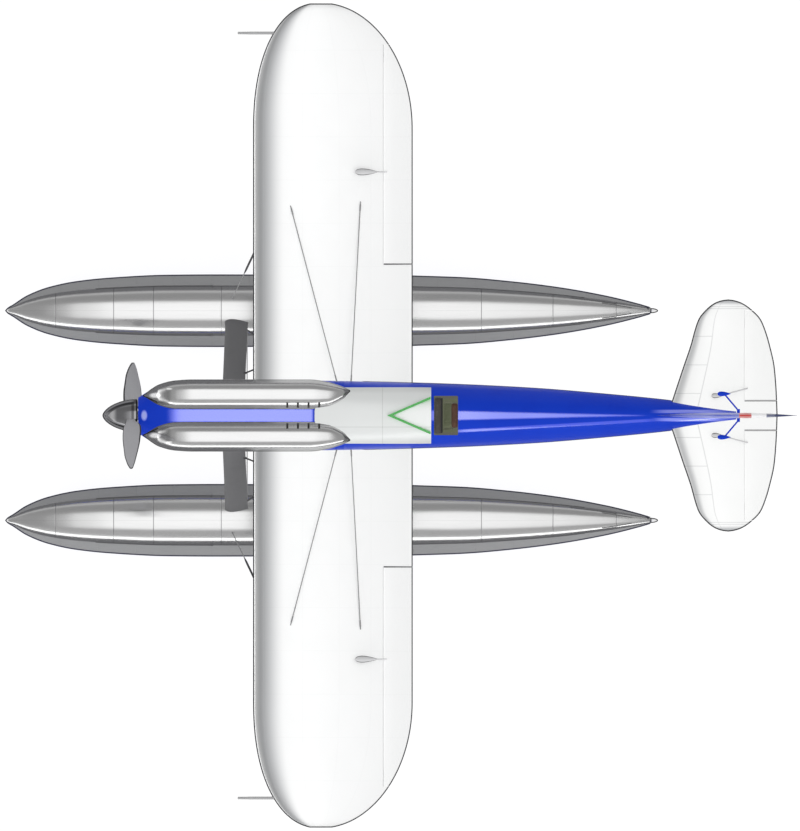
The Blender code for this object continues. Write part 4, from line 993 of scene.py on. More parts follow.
def hoop(ring, radius, sides=10):
    """A round section carried round a closed ring of points."""
    ring = np.asarray(ring, float)
    heading = unit(np.roll(ring, -1, axis=0) - np.roll(ring, 1, axis=0))
    up = np.array([0.0, 0.0, 1.0]) + heading * 1e-6
    across = unit(np.cross(heading, up))
    up = np.cross(across, heading)
    angle = turns(sides)[None, :, None]
    tube = ring[:, None] + radius * (np.cos(angle) * across[:, None] + np.sin(angle) * up[:, None])
    return np.concatenate([tube, tube[:1]])


def pad(low, high, pinch=0.05, squareness=5.0, fullness=3.0, channels=(), depth=0.006):
    """A stuffed pad: a rounded oblong seen along Z whose sides pull in between its corners, fullest in its middle.

    At turn t and lift u it is half size times (cos t, sin t) to the power 2 / squareness times sin u to the power
    2 / fullness, and cos u to that power for the height. Sewn channels across it sink by a depth as a bell.
    """
    low, high = np.array(low, float), np.array(high, float)
    middle, half = (low + high) / 2, (high - low) / 2
    turn = turns(64)[None, :]
    lift = np.linspace(0.0, math.pi, 33)[:, None]
    wide = np.sin(lift) ** (2 / fullness)
    pull = 1 - pinch * np.cos(2 * turn) ** 2
    x = bulge(np.cos(turn), 2 / squareness) * wide * pull
    y = bulge(np.sin(turn), 2 / squareness) * wide * pull
    z = np.broadcast_to(bulge(np.cos(lift), 2 / fullness), x.shape)
    points = middle + half * np.stack([x, y, z], -1)
    for place in channels:
        points[..., 2] -= np.sign(z) * depth * np.exp(-((points[..., 1] - place) / 0.006) ** 2)
    seam = middle + half * np.stack([x[16], y[16], z[16]], -1)
    return points, seam


def oval(half_width, bottom, middle, top, low_power, high_power, count):
    """Rings of (y, z): superellipses whose lower and upper halves differ in depth and power."""
    angle = turns(count)
    across, up = np.cos(angle), np.sin(angle)
    column = [np.asarray(v, float)[:, None] for v in (half_width, bottom, middle, top, low_power, high_power)]
    half_width, bottom, middle, top, low_power, high_power = column
    power = np.where(up < 0, low_power, high_power)
    rise = np.where(up < 0, middle - bottom, top - middle)
    return half_width * bulge(across, 2 / power), middle + rise * bulge(up, 2 / power)


def trough_height(x):
    """The trough's level, dipping towards the nose as an exponential."""
    return TROUGH_Z - TROUGH_DIP * np.exp(-(x - COWL_FRONT_X) / TROUGH_RUN)


def body_grid(xs, trough=False, count=96):
    """The fuselage's sections at each x: ovals of its table, cut down to the trough's level where asked."""
    half_width, bottom, middle, top, low_power, high_power = smooth(BODY, xs).T
    if trough:
        top = trough_height(xs)
    y, z = oval(half_width, bottom, middle, top, low_power, high_power, count)
    return sections(xs, y, z)


def spaced(start, end, count, lean):
    """Stations from start to end, closer together at the start where lean is above 1."""
    return start + (end - start) * np.linspace(0.0, 1.0, count) ** lean


def make_fuselage():
    """Cowl, white deck with its intake, centre part with its cockpit opening, tail cone, and oil coolers."""
    rings = body_grid(spaced(COWL_FRONT_X, DECK_LIP_X, 120, 1.5), trough=True)
    lip = [0, 0, THRUST_Z] + (rings[0] - [0, 0, THRUST_Z]) * [1, COWL_LIP_SHARE, COWL_LIP_SHARE]
    rear = body_grid(np.array([DECK_LIP_X, FIREWALL_X]), trough=True)
    cowl = Piece("blue").closed(np.concatenate([lip[None], rings, rear[1:]]))
    cowl.made("cowl_shell", replaces=["lower_cowl"], slot="blue_paint")
    make_deck()
    make_intake()

    centre = Piece("blue").closed(body_grid(np.linspace(FIREWALL_X, CENTRE_END_X, 60)))
    centre = centre.made("centre_shell", replaces=["fuselage_centre"], slot="blue_paint")
    cutters = []
    for name, finish, low, high, rounding in CENTRE_CUTTERS:
        cutters.append(Piece(finish).closed(slab(low, high, rounding)).made(name))
    carve(centre, *cutters)

    cone = Piece("blue").closed(body_grid(np.linspace(CENTRE_END_X, STERN_X, 120)))
    cone.made("tail_shell", replaces=["tail_cone"], slot="blue_paint")
    make_coolers()


def make_deck():
    """The white deck: the upper arc of the fuselage's superellipse, from where it crosses the level of the foot."""
    xs = np.linspace(DECK_LIP_X, DECK_END_X, 60)
    half_width, _, middle, top, _, power = (v[:, None] for v in smooth(BODY, xs).T)
    start = np.arcsin(((DECK_BASE_Z - middle) / (top - middle)) ** (power / 2))
    angle = start + (math.pi - 2 * start) * np.linspace(0, 1, 64)
    y = half_width * bulge(np.cos(angle), 2 / power)
    z = middle + (top - middle) * np.sin(angle) ** (2 / power)
    deck = Piece("deck").closed(sections(xs, y, z))
    deck.made("deck_panel", replaces=["header_deck"], slot="white_paint")


def make_intake():
    """An oval mouth in the deck's front: a shallow black dish that narrows to its middle, painted shade for the
    mouth's depth, and a rolled rim.
    """
    turn = turns(48)
    wide, high, level = INTAKE
    mouth = np.column_stack([np.full(48, DECK_LIP_X - 0.001), wide * np.cos(turn), level + high * np.sin(turn)])
    shrink, back = np.array([(1.0, 0.0), (1.0, 0.001), (0.7, 0.002), (0.0, 0.002)]).T[:, :, None, None]
    middle = np.array([DECK_LIP_X, 0.0, level])
    dish = middle + (mouth - middle) * shrink + back * [1, 0, 0]
    intake = Piece("black", "deck").grid(dish, wrap=True).grid(hoop(mouth, 0.005), wrap=True, paint=1)
    intake.made("intake_mouth", slot="white_paint")


def make_coolers():
    """A ribbed oil cooler low on each side: the body's side plus a flat rise and fine ribs along it."""
    xs = np.linspace(-0.45, 3.05, 60)
    half_width, bottom, middle, _, low_power, _ = (v[:, None] for v in smooth(BODY, xs).T)
    level = np.linspace(0.0, 1.0, 120)[None, :]
    low = bottom + (middle - bottom) * 0.48
    z = low + (middle - bottom) * 0.44 * level
    depth = np.clip((middle - z) / (middle - bottom), 0.0, 1.0)
    wall = half_width * (1 - depth**low_power) ** (1 / low_power)
    ends = np.minimum(xs - xs[0], xs[-1] - xs)[:, None]
    rim = np.minimum(np.minimum(level, 1 - level) * 20, 1.0) * np.minimum(ends * 20, 1.0)
    ribs = 0.0035 + 0.0018 * np.cos(level * 2 * math.pi * 15)
    for side, sign in SIDES.items():
        y = sign * (wall - 0.002 + (0.002 + ribs) * rim)
        cooler = Piece("cooler").grid(sections(xs, y, z))
        cooler.made("oil_cooler_" + side, slot="polished_alloy")


def make_banks():
    """The two polished fairings over the cylinder banks, each with four breather slots."""
    for side, sign in SIDES.items():
        ends = [BANK[0][0] + 0.30 * np.linspace(0, 1, 40) ** 1.8, np.linspace(-2.55, -0.95, 40)[1:],
                (BANK[-1][0] - 0.40 * np.linspace(1, 0, 50) ** 1.6)[1:]]
        xs = np.concatenate(ends)
        inner, outer, middle, half = smooth(BANK, xs).T
        power = np.full(len(xs), BANK_POWER)
        y, z = oval((outer - inner) / 2, middle - half, middle, middle + half, power, power, 80)
        y = sign * (y + ((inner + outer) / 2)[:, None])
        bank = Piece("alloy").closed(sections(xs, y, z))
        bank = bank.made("bank_cover_" + side, replaces=["bank_fairing_" + side], slot="polished_alloy")
        mark_outline(bank, round_trip((xs, sign * inner), (xs, sign * outer))[::2])
        # Each slot is a black patch on the fairing: painted shade where the opening is.
        slots = Piece("black")
        for x in SLOT_X:
            slots.grid(bank_patch(x, SLOT_WIDTH / 2, SLOT_REACH, 0.0010, sign))
        slots.made("breather_slots_" + side, slot="engine_black")


def bank_patch(x, half_width, reach, lift, sign):
    """A strip lying on a fairing: at each point the fairing's superellipse at that distance out, plus a small lift."""
    xs = np.linspace(x - half_width, x + half_width, 9)
    out = np.linspace(*reach, 25)[None, :]
    inner, outer, middle, half = (v[:, None] for v in smooth(BANK, xs).T)
    away = np.clip(np.abs(out - (inner + outer) / 2) / ((outer - inner) / 2), 0.0, 1.0)
    z = middle + half * (1 - away**BANK_POWER) ** (1 / BANK_POWER) + lift
    return sections(xs, sign * out, z)


def make_exhausts():
    """Six open oval outlets a side in a strip; each is a tube with a rolled lip and a bore."""
    low, high = EXHAUST_STRIP
    for side, sign in SIDES.items():
        near, far = sorted((sign * low[1], sign * high[1]))
        row = Piece("blue", "soot").closed(slab((low[0], near, low[2]), (high[0], far, high[2]), 0.010))
        for x in EXHAUST_X:
            tube = turned(EXHAUST_OUTLET, axis=(0, 1, 0), sides=28) * [1.7, sign, 1.0] + [x, 0.0, EXHAUST_Z]
            row.grid(tube, wrap=True, paint=1)
        row.made("exhaust_row_" + side, replaces=["exhaust_ports_" + side], slot="dark_steel")


def aerofoil(share, ratio):
    """Half thickness at a share of the chord, over the chord: the classic four-digit form with a closed tail."""
    return 5 * ratio * (0.2969 * np.sqrt(share) - 0.1260 * share - 0.3516 * share**2
                        + 0.2843 * share**3 - 0.1036 * share**4)


def wing_edges(span):
    """Straight edges, then a tip whose leading quarter is a little fuller than its trailing one."""
    u = np.maximum(0.0, (span - WING_TIP_START) / WING_TIP_REACH)
    lead = WING_TIP_X - (WING_TIP_X - WING_LEAD_X) * (1 - u**2.2) ** (1 / 2.2)
    trail = WING_TIP_X + (WING_TRAIL_X - WING_TIP_X) * (1 - u**2) ** 0.5
    return lead, trail


def chord_share(x, lead, trail):
    """How far back along the chord a point lies, from 0 to 1."""
    return np.clip((x - lead) / np.maximum(trail - lead, 1e-9), 0.0, 1.0)


def doubled(rows, sign=1):
    """Each row followed by itself backwards, without its last value again."""
    return np.hstack([rows, sign * rows[:, -2::-1]])


def wing_half(share, chord):
    """Half the wing's thickness: the aerofoil times the chord."""
    return aerofoil(share, WING_THICKNESS) * chord


def wing_place(x, span, rise, sign):
    """A section's point, raised by the dihedral and leaning inwards with it."""
    y = sign * (span - rise * math.sin(DIHEDRAL))
    return np.stack([x, y, WING_Z + span * math.tan(DIHEDRAL) + rise * math.cos(DIHEDRAL)], -1)


def wing_height(span):
    """The height of the wing's middle: its root's plus the span times the dihedral's tangent."""
    return WING_Z + span * math.tan(DIHEDRAL)


def tail_edges(span):
    """Leading and trailing edge from the tailplane's table."""
    return smooth(TAIL_OUTLINE, span).T


def tail_half(share, chord):
    """Half the tailplane's thickness: the aerofoil times the chord."""
    return aerofoil(share, TAIL_THICKNESS) * chord


def tail_place(x, span, rise, sign):
    """A section's point, level at the tailplane's height."""
    return np.stack([x, np.broadcast_to(sign * span, x.shape), TAIL_Z + rise], -1)


def fin_edges(height):
    """The fin's swept and rounded front and the rudder's rounded back, at a height."""
    up = np.clip((height - 2.50) / (FIN_TOP_Z - 2.50), 0.0, 1.0)
    lead = RUDDER_HINGE_X - (RUDDER_HINGE_X - FIN_FOOT_X) * (1 - up**1.25) ** 0.62
    trail = RUDDER_HINGE_X + (TAIL_X - RUDDER_HINGE_X) * (1 - np.abs(up - 0.12) ** 2.6 / 0.88**2.6) ** 0.5
    return lead, trail


def fin_half(share, chord):
    """A parabola over the chord, 4 s (1 - s), as thick as the fin is or thinner where the chord is short."""
    return 4 * share * (1 - share) * np.minimum(FIN_HALF_THICKNESS, 0.024 * chord + 0.002)


def fin_place(x, span, rise, sign):
    """A section's point: the span is upwards and the thickness goes to both sides."""
    return np.stack([x, rise, np.broadcast_to(span, x.shape)], -1)


# The lips over a hinge bay: how far they end before the hinge line and how thick they are; how far the moving part's
# nose lies below the skin, and over what length it comes up to it. TAIL_COUNT points lie behind the hinge. Half the
# thickness of every edge.
LIP_BACK = 0.006
LIP_THICKNESS = 0.0006
NOSE_SINK = 0.0014
NOSE_RUN = 0.110
TAIL_COUNT = 14
EDGE_HALF = 0.0015


class Surface:
    """A wing, tailplane or fin: its edges at a span, its half thickness, where a section point lies, and its hinge."""

    def __init__(self, edges, half, place, hinge_x, sink=NOSE_SINK):
        self.edges = edges
        self.half = half
        self.place = place
        self.hinge_x = hinge_x
        self.sink = sink

    def edge_columns(self, span):
        """Leading and trailing edge at each span, one row for each."""
        return [values.reshape(-1, 1) for values in self.edges(span.ravel())]

    def whole(self, span, count=40, tail=TAIL_COUNT, opened=False):
        """Sections (x, rise): the tail part to the hinge, the fore part round the leading edge, and back.

        Where a section is opened, its tail part is a round bay about the hinge line, under thin lips.
        """
        span = np.atleast_1d(span)[:, None]
        lead, trail = self.edge_columns(span)
        hinge = np.clip(self.hinge_x - LIP_BACK, lead, trail)
        back = trail + (hinge - trail) * np.linspace(0, 1, tail)
        fore = lead + (hinge - lead) * (1 + np.cos(np.linspace(0, math.pi, count)[1:])) / 2
        xs = np.hstack([back, fore])
        rise = np.maximum(self.half(chord_share(xs, lead, trail), trail - lead), EDGE_HALF)
        rise[:, -1] = 0.0
        if opened:
            radius = rise[:, tail - 1:tail] - LIP_THICKNESS
            reach = np.sqrt(np.maximum(radius**2 - LIP_BACK**2, 1e-8))
            turn = np.linspace(0, 1, tail) * (math.pi / 2 - math.asin(0.1))
            xs[:, :tail] = self.hinge_x - radius * np.cos(turn)
            rise[:, :tail] = radius * np.sin(turn)
            xs[:, tail - 1] = self.hinge_x - LIP_BACK
            rise[:, tail - 1:tail] = reach
        return doubled(xs), doubled(rise, -1), doubled(chord_share(xs, lead, trail)), span

    def flap(self, span, count=24):
        """Sections of the moving part: a round nose about the hinge line, then the sides to the trailing edge."""
        span = np.atleast_1d(span)[:, None]
        lead, trail = self.edge_columns(span)
        radius = self.half(chord_share(self.hinge_x, lead, trail), trail - lead) - self.sink
        back = self.hinge_x + (trail - self.hinge_x) * np.linspace(1, 0, count)
        sink = self.sink * np.clip(1 - (back - self.hinge_x) / NOSE_RUN, 0.0, 1.0) ** 2
        side = np.maximum(self.half(chord_share(back, lead, trail), trail - lead) - sink, EDGE_HALF)
        turn = np.linspace(0, math.pi, 17)[1:-1]
        xs = np.hstack([back, self.hinge_x - radius * np.sin(turn), back[:, ::-1]])
        rise = np.hstack([side, radius * np.cos(turn), -side[:, ::-1]])
        return xs, rise, chord_share(xs, lead, trail), span

    def outline(self, tip, sign):
        """The closed edge line seen from above, along the leading edge and back along the trailing one."""
        span = tip * np.sin(np.linspace(0, math.pi / 2, 110))
        lead, trail = self.edges(span)
        return round_trip((lead, sign * span), (trail, sign * span))

    def laid(self, section, sign):
        """Points and chart, of chord share and span, of sections."""
        xs, rise, share, span = section
        span = np.broadcast_to(span, xs.shape)
        return self.place(xs, span, rise, sign), np.stack([share, span], -1)


WING = Surface(wing_edges, wing_half, wing_place, AILERON_HINGE_X)
TAILPLANE = Surface(tail_edges, tail_half, tail_place, ELEVATOR_HINGE_X)
FIN = Surface(fin_edges, fin_half, fin_place, RUDDER_HINGE_X, sink=0.0036)


def panelled(surface, sign, spans, start, end, finish):
    """A fixed surface whose moving part runs from one span to another, with a bay and end walls there."""
    parts = []
    for spans_here, opened in ((spans[spans < start], False), (np.array([start]), False), (np.array([start]), True),
                               (spans[(spans > start) & (spans < end)], True), (np.array([end]), True),
                               (np.array([end]), False), (spans[spans > end], False)):
        if len(spans_here):
            parts.append(surface.laid(surface.whole(spans_here, opened=opened), sign))
    points = np.concatenate([p for p, _ in parts])
    chart = np.concatenate([c for _, c in parts])
    return Piece(finish).closed(points, chart=chart)


def hinged(surface, sign, spans, finish):
    """The moving part of a surface, from its first span to its last."""
    points, chart = surface.laid(surface.flap(spans), sign)
    return Piece(finish).closed(points, chart=chart)


def teardrop(at, length, radius, sides=20):
    """A weight with a round nose and a long tail, along X."""
    share = (1 - np.cos(np.linspace(0, math.pi, 24))) / 2
    profile = np.column_stack([length * (share - 0.5), radius * aerofoil(share, 1.0) / 0.5])
    profile[[0, -1], 1] = 0.0
    return turned(profile, at=at, sides=sides)


def bent(points, count=24):
    """A path through a few points: straight between two, and with its corners rounded by averaging with three."""
    points = np.array(points, float)
    if len(points) == 2:
        return points[0] + (points[1] - points[0]) * np.linspace(0, 1, count)[:, None]
    runs = np.concatenate([[0], np.cumsum(np.linalg.norm(np.diff(points, axis=0), axis=1))])
    at = np.linspace(0, runs[-1], count)
    line = np.column_stack([np.interp(at, runs, points[:, k]) for k in range(3)])
    for _ in range(2):
        line[1:-1] = (line[:-2] + 2 * line[1:-1] + line[2:]) / 4
    return line


def balance_weight(at, length, radius, path, rod, body, name, slot, finishes):
    """A teardrop weight with a painted dark outline, the shade where it turns under, on a bent rod with a small foot.
    """
    piece = Piece(*finishes).grid(teardrop(at, length, radius), wrap=True, edge=from_rim(radius))
    line = bent(path)
    thick = rod * (1 + 0.8 * np.exp(-np.linspace(0, 1, len(line))[::-1] / 0.04))
    piece.closed(swept(line, thick))
    foot = line[-1]
    piece.closed(slab(foot - [0.030, 0.012, 0.012], foot + [0.030, 0.012, 0.002], 0.006), paint=1)
    return piece.made(name, body, slot=slot)


def make_wings():
    """Wings, ailerons with their outside balance weights, and pitot tubes."""
    start, end = AILERON_SPAN
    for side, sign in SIDES.items():
        outline = WING.outline(HALF_SPAN, sign)
        stations = tip_stations(0.150, WING_TIP_START, HALF_SPAN, 50, 60)
        wing = panelled(WING, sign, stations, start - 0.001, end + 0.005, "wing")
        wing.made("wing_skin_" + side, replaces=["wing_" + side], slot="white_paint", sharp=50.0, outline=outline)
        skin = hinged(WING, sign, np.linspace(start + 0.002, end + 0.002, 60), "wing")
        skin.made("aileron_skin_" + side, "aileron_" + side, ["aileron_" + side], "white_paint", 50.0, outline=outline)

        x, y, rise = AILERON_WEIGHT
        foot_x, knee_x, knee_rise = AILERON_ARM
        top = wing_height(y) + rise
        path = [(x + 0.10, sign * y, top), (knee_x, sign * y, wing_height(y) + knee_rise),
                (foot_x, sign * y, wing_height(y) + 0.014)]
        balance_weight((x, sign * y, top), 0.264, 0.038, path, 0.006, "aileron_" + side,
                       "aileron_balance_" + side, "blade_alloy", ("weight", "sleeve"))

        tube = turned(PITOT, (0.0, sign * PITOT_Y, wing_height(PITOT_Y)), sides=20)
        pitot = Piece("weight").grid(tube, wrap=True, edge=from_rim(PITOT[-2][1]))
        pitot.made("pitot_tube_" + side, replaces=["pitot_" + side], slot="dark_steel")


def make_tail():
    """Tailplane halves, elevators, fin and rudder, each moving part with its balance weights."""
    start, end = ELEVATOR_SPAN
    for side, sign in SIDES.items():
        outline = TAILPLANE.outline(TAIL_HALF_SPAN, sign)
        stations = tip_stations(0.0003, TAIL_TIP_START, TAIL_HALF_SPAN, 40, 24)
        fixed = panelled(TAILPLANE, sign, stations, start - 0.001, end + 0.004, "tail")
        fixed.made("tailplane_skin_" + side, replaces=["tailplane_" + side], slot="white_paint", sharp=50.0,
                   outline=outline)
        skin = hinged(TAILPLANE, sign, np.linspace(start + 0.002, end, 40), "tail")
        skin.made("elevator_skin_" + side, "elevator_" + side, ["elevator_" + side], "white_paint", 50.0,
                  outline=outline)
        x, y, rise = ELEVATOR_WEIGHT
        foot_x, foot_y, knee_x, knee_y, knee_rise = ELEVATOR_ARM
        path = [(x + 0.03, sign * y, TAIL_Z + rise), (knee_x, sign * knee_y, TAIL_Z + knee_rise),
                (foot_x, sign * foot_y, TAIL_Z + 0.014)]
        balance_weight((x, sign * y, TAIL_Z + rise), 0.130, 0.027, path, 0.007, "elevator_" + side,
                       "elevator_balance_" + side, "white_paint", ("weight", "pale"))

    heights = tip_stations(FIN_FOOT_Z, FIN_BEND_Z, FIN_SKIN_TOP_Z, 50, 20)
    fin = panelled(FIN, 1, heights, *FIN_BAY, "blue")
    fin.made("fin_skin", replaces=["fin"], slot="blue_paint", sharp=50.0)
    rudder = hinged(FIN, 1, tip_stations(RUDDER_FOOT_Z, FIN_BEND_Z, FIN_SKIN_TOP_Z, 50, 20), "stripes")
    rudder.made("rudder_skin", "rudder", ["rudder"], "white_paint", sharp=50.0)
    x, y = RUDDER_WEIGHT
    horn = Piece("blue").closed(slab((RUDDER_HINGE_X - 0.022, -0.072, RUDDER_HORN_Z - 0.012),
                                     (RUDDER_HINGE_X + 0.012, 0.072, RUDDER_HORN_Z + 0.012), 0.006))
    for side, sign in SIDES.items():
        horn.grid(teardrop((x, sign * y, RUDDER_HORN_Z), 0.150, 0.027), wrap=True)
        arm = bent([(x, sign * y, RUDDER_HORN_Z), (RUDDER_HINGE_X - 0.010, sign * 0.060, RUDDER_HORN_Z)])
        horn.closed(swept(arm, 0.009))
    horn.made("rudder_balance", "rudder", slot="blue_paint")


def float_grid(table, xs, sign):
    """Float sections: veed bottom, chines, sides leaning in to the deck edges, and an arched deck."""
    half_beam, keel, chine, edge, top = (v[:, None] for v in smooth(table, xs).T)
    deck = DECK_EDGE_SHARE * half_beam
    share = np.array([0.0, 0.25, 0.5, 0.75, 1.0])
    angle = np.linspace(0, math.pi / 2, 20)
    y = np.hstack([half_beam * share, half_beam + (deck - half_beam) * share[1:4], deck * np.cos(angle)])
    z = np.hstack([keel + (chine - keel) * (share - 0.06 * np.sin(share * math.pi)),
                   chine + (edge - chine) * share[1:4], edge + (top - edge) * np.sin(angle)])
    y = np.hstack([y, -y[:, -2:0:-1]])
    z = np.hstack([z, z[:, -2:0:-1]])
    return sections(xs, sign * FLOAT_Y + y, z)


def float_point(x, inward, sign, side):
    """A point on the deck's arch, a little inside the deck edge of one side."""
    table = np.where((x <= STEP_X)[:, None], smooth(FLOAT, x), smooth(FLOAT_AFTERBODY, x))
    half_beam, _, _, edge, top = table.T
    deck = DECK_EDGE_SHARE * half_beam
    reach = np.maximum(deck - inward, 0.0)
    rise = np.sqrt(np.maximum(1 - (reach / deck) ** 2, 0.0))
    return np.column_stack([x, sign * FLOAT_Y + side * reach, edge + (top - edge) * rise + 0.001])


def make_floats():
    """The two floats: blue bottoms, grey sides, polished arched decks with rails, and white stern caps."""
    front = np.concatenate([-4.40 + 0.60 * np.linspace(0, 1, 60) ** 2, np.linspace(-3.80, STEP_X, 90)[1:]])
    back = np.linspace(STEP_X, FLOAT_STERN_X, 90)
    table = np.concatenate([smooth(FLOAT, front), smooth(FLOAT_AFTERBODY, back[1:])])
    xs = np.concatenate([front, back[1:]])
    for name, sign in SIDES.items():
        grids = np.concatenate([float_grid(FLOAT, front, sign), float_grid(FLOAT_AFTERBODY, back, sign)])
        half = np.array([2] * 4 + [1] * 4 + [0] * 19)
        hull = Piece("float_deck", "side", "blue").closed(grids, paint=np.concatenate([half, half[::-1]]))
        plan = round_trip((xs, table[:, 0]), (xs, -table[:, 0])) + [0, sign * FLOAT_Y]
        hull.made("float_hull_" + name, replaces=["float_" + name], slot="polished_alloy", sharp=25.0,
                  outline=plan[::2])
        rails = Piece("rail")
        for start, end, radius, inward in DECK_RAILS:
            for side in (-1, 1):
                rails.closed(swept(float_point(np.linspace(start, end, 60), inward, sign, side), radius, 8))
        for side in (-1, 1):
            stop = float_point(np.array([DECK_RAILS[0][1]]), 0.006, sign, side)[0]
            rails.closed(slab(stop - [0.014, 0.014, 0.010], stop + [0.014, 0.014, 0.012], 0.004))
        rails.made("deck_rails_" + name, slot="dark_steel")
        turn = np.linspace(0, math.pi / 2, 12)
        level, length, radius = STERN_CAP
        out, across = length * np.sin(turn), radius * np.cos(turn)
        shape = turned([(0, 0), *zip(out, across)], (FLOAT_STERN_X, sign * FLOAT_Y, level))
        cap = Piece("cap").grid(shape, wrap=True)
        plan = round_trip((out, across), (out, -across)) + [FLOAT_STERN_X, sign * FLOAT_Y]
        cap.made("stern_bumper_" + name, replaces=["stern_cap_" + name], slot="white_paint", outline=plan)


def strut_grid(top, foot, chord, thickness, sign):
    """A streamlined section carried along a strut: round in front, sharp behind."""
    top, foot = np.array(top) * [1, sign, 1], np.array(foot) * [1, sign, 1]
    share = (1 + np.cos(np.linspace(0.0, math.pi, 24))) / 2
    half = np.maximum(aerofoil(share, thickness / chord) * chord, 0.0008)
    outline = np.concatenate([np.column_stack([chord * (share - 0.5), half]),
                              np.column_stack([chord * (share - 0.5), -half])[-2:0:-1]])
    normal = unit(np.cross(foot - top, [1.0, 0.0, 0.0]))
    along = np.linspace(0, 1, 60)[:, None, None]
    swell = 1 + 0.30 * np.exp(-along / 0.035) + 0.30 * np.exp(-(1 - along) / 0.035)
    section = outline[None, :, :1] * [1.0, 0, 0] + outline[None, :, 1:] * normal
    return top + (foot - top) * along + swell * section


def make_struts():
    """The four float struts, each swelling into a cuff at both ends."""
    for side, sign in SIDES.items():
        for name, ends in (("front_strut", FRONT_STRUT), ("rear_strut", REAR_STRUT)):
            leg = Piece("strut").closed(strut_grid(*ends, sign))
            leg.made(name + "_skin_" + side, replaces=[name + "_" + side], slot="strut_grey")


def wire(piece, start, end, radius, sign=1):
    """A streamlined wire between two points of one side, with a round barrel and a fork at each end."""
    start, end = (np.array(point) * [1.0, sign, 1.0] for point in (start, end))
    along = np.linspace(0.0, 1.0, 30)[:, None]
    piece.closed(swept(start + (end - start) * along, radius, 10, WIRE_FLATNESS))
    heading = unit(end - start)
    places, widths = np.array(BARREL).T
    for point, way in ((start, heading), (end, -heading)):
        piece.closed(swept(point + way * places[:, None], radius * widths, 10))
    return piece


def make_wires():
    """Bracing: spreaders between the floats, landing wires, flying wires with sleeves, and side wires."""
    for name, x in SPREADER_X.items():
        ends = ((x, -SPREADER_Y, SPREADER_Z), (x, SPREADER_Y, SPREADER_Z))
        spreader = wire(Piece("wire"), *ends, 0.0055)
        spreader.made("spreader_" + name, replaces=["spreader_wire_" + name], slot="dark_steel")
    for side, sign in SIDES.items():
        landing = Piece("wire")
        for root, tip in zip(LANDING_ROOT, LANDING_TIP):
            wire(landing, root, tip, 0.0056, sign)
        landing.made("landing_wire_pair_" + side, replaces=["landing_wires_" + side], slot="dark_steel")
        for name, (foot, top) in FLYING_WIRES.items():
            flying = wire(Piece("wire", "sleeve"), foot, top, 0.0055, sign)
            covered = np.linspace(0.275, 0.985, 30)[:, None]
            sleeve = (np.array(foot) + (np.array(top) - foot) * covered) * [1.0, sign, 1.0]
            thick = 0.0115 * np.minimum(1.0, 0.5 + 12 * np.minimum(np.linspace(0, 1, 30), np.linspace(1, 0, 30)))
            flying.closed(swept(sleeve, thick, 12, 0.6), paint=1)
            flying.made(f"flying_wire_{name}_sleeved_{side}", replaces=[f"flying_wire_{name}_{side}"],
                        slot="dark_steel")
        crossed = Piece("sleeve")
        for start, end in SIDE_WIRES:
            wire(crossed, start, end, 0.0090, sign)
        crossed.made("side_wire_pair_" + side, replaces=["side_wires_" + side], slot="dark_steel")


def make_propeller():
    """Blades and spinner.

    A blade's section at distance r from the hub is an ellipse turned by the angle whose tangent is the pitch over
    2 pi r. The spinner's radius at a share s of its length goes as (1 - (1 - s)^1.9)^0.6.
    """
    half = np.concatenate([[0.10], tip_stations(0.16, 1.30, PROP_RADIUS, 40, 14)])
    reach = np.concatenate([-half[::-1], half])[:, None]
    r = np.abs(reach)
    chord, thick, behind = (v[:, None] for v in smooth(BLADE, r.ravel()).T)
    angle = np.arctan2(PROP_PITCH, 2 * math.pi * r)
    turn = np.where(reach >= 0, angle, math.pi - angle)
    around = turns(48)
    along, across = chord / 2 * np.cos(around), thick / 2 * np.sin(around)
    x = np.sin(turn) * along - np.cos(turn) * across + behind
    y = np.cos(turn) * along + np.sin(turn) * across
    z = np.broadcast_to(reach, x.shape)
    lean_y = y * math.cos(PROP_LEAN) - z * math.sin(PROP_LEAN)
    lean_z = y * math.sin(PROP_LEAN) + z * math.cos(PROP_LEAN)
    points = np.stack([PROP_X + x, lean_y, THRUST_Z + lean_z], -1)
    edge = np.minimum(chord / 2 * (1 - np.abs(np.cos(around))), PROP_RADIUS + 0.004 - r)
    blades = Piece("blade").closed(points, edge=edge)
    blades.made("propeller_blades", "propeller", ["propeller"], "blade_alloy")
    share = np.linspace(0, 1, 60) ** 1.5
    length = SPINNER_BASE_X - SPINNER_TIP_X
    xs, radii = SPINNER_TIP_X + length * share, SPINNER_RADIUS * (1 - (1 - share) ** 1.9) ** 0.60
    neck = SPINNER_BASE_X + 0.0065
    back = [(SPINNER_BASE_X, SPINNER_RADIUS * 0.97), (SPINNER_BASE_X + 0.001, SPINNER_RADIUS * 0.94),
            (neck, SPINNER_RADIUS * 0.93), (neck, 0.0)]
    cone = Piece("spinner").grid(turned([*zip(xs, radii), *back], (0, 0, THRUST_Z), sides=64), wrap=True)
    cone.made("spinner_shell", "propeller", ["spinner"], "dark_steel", outline=round_trip((xs, radii), (xs, -radii)))


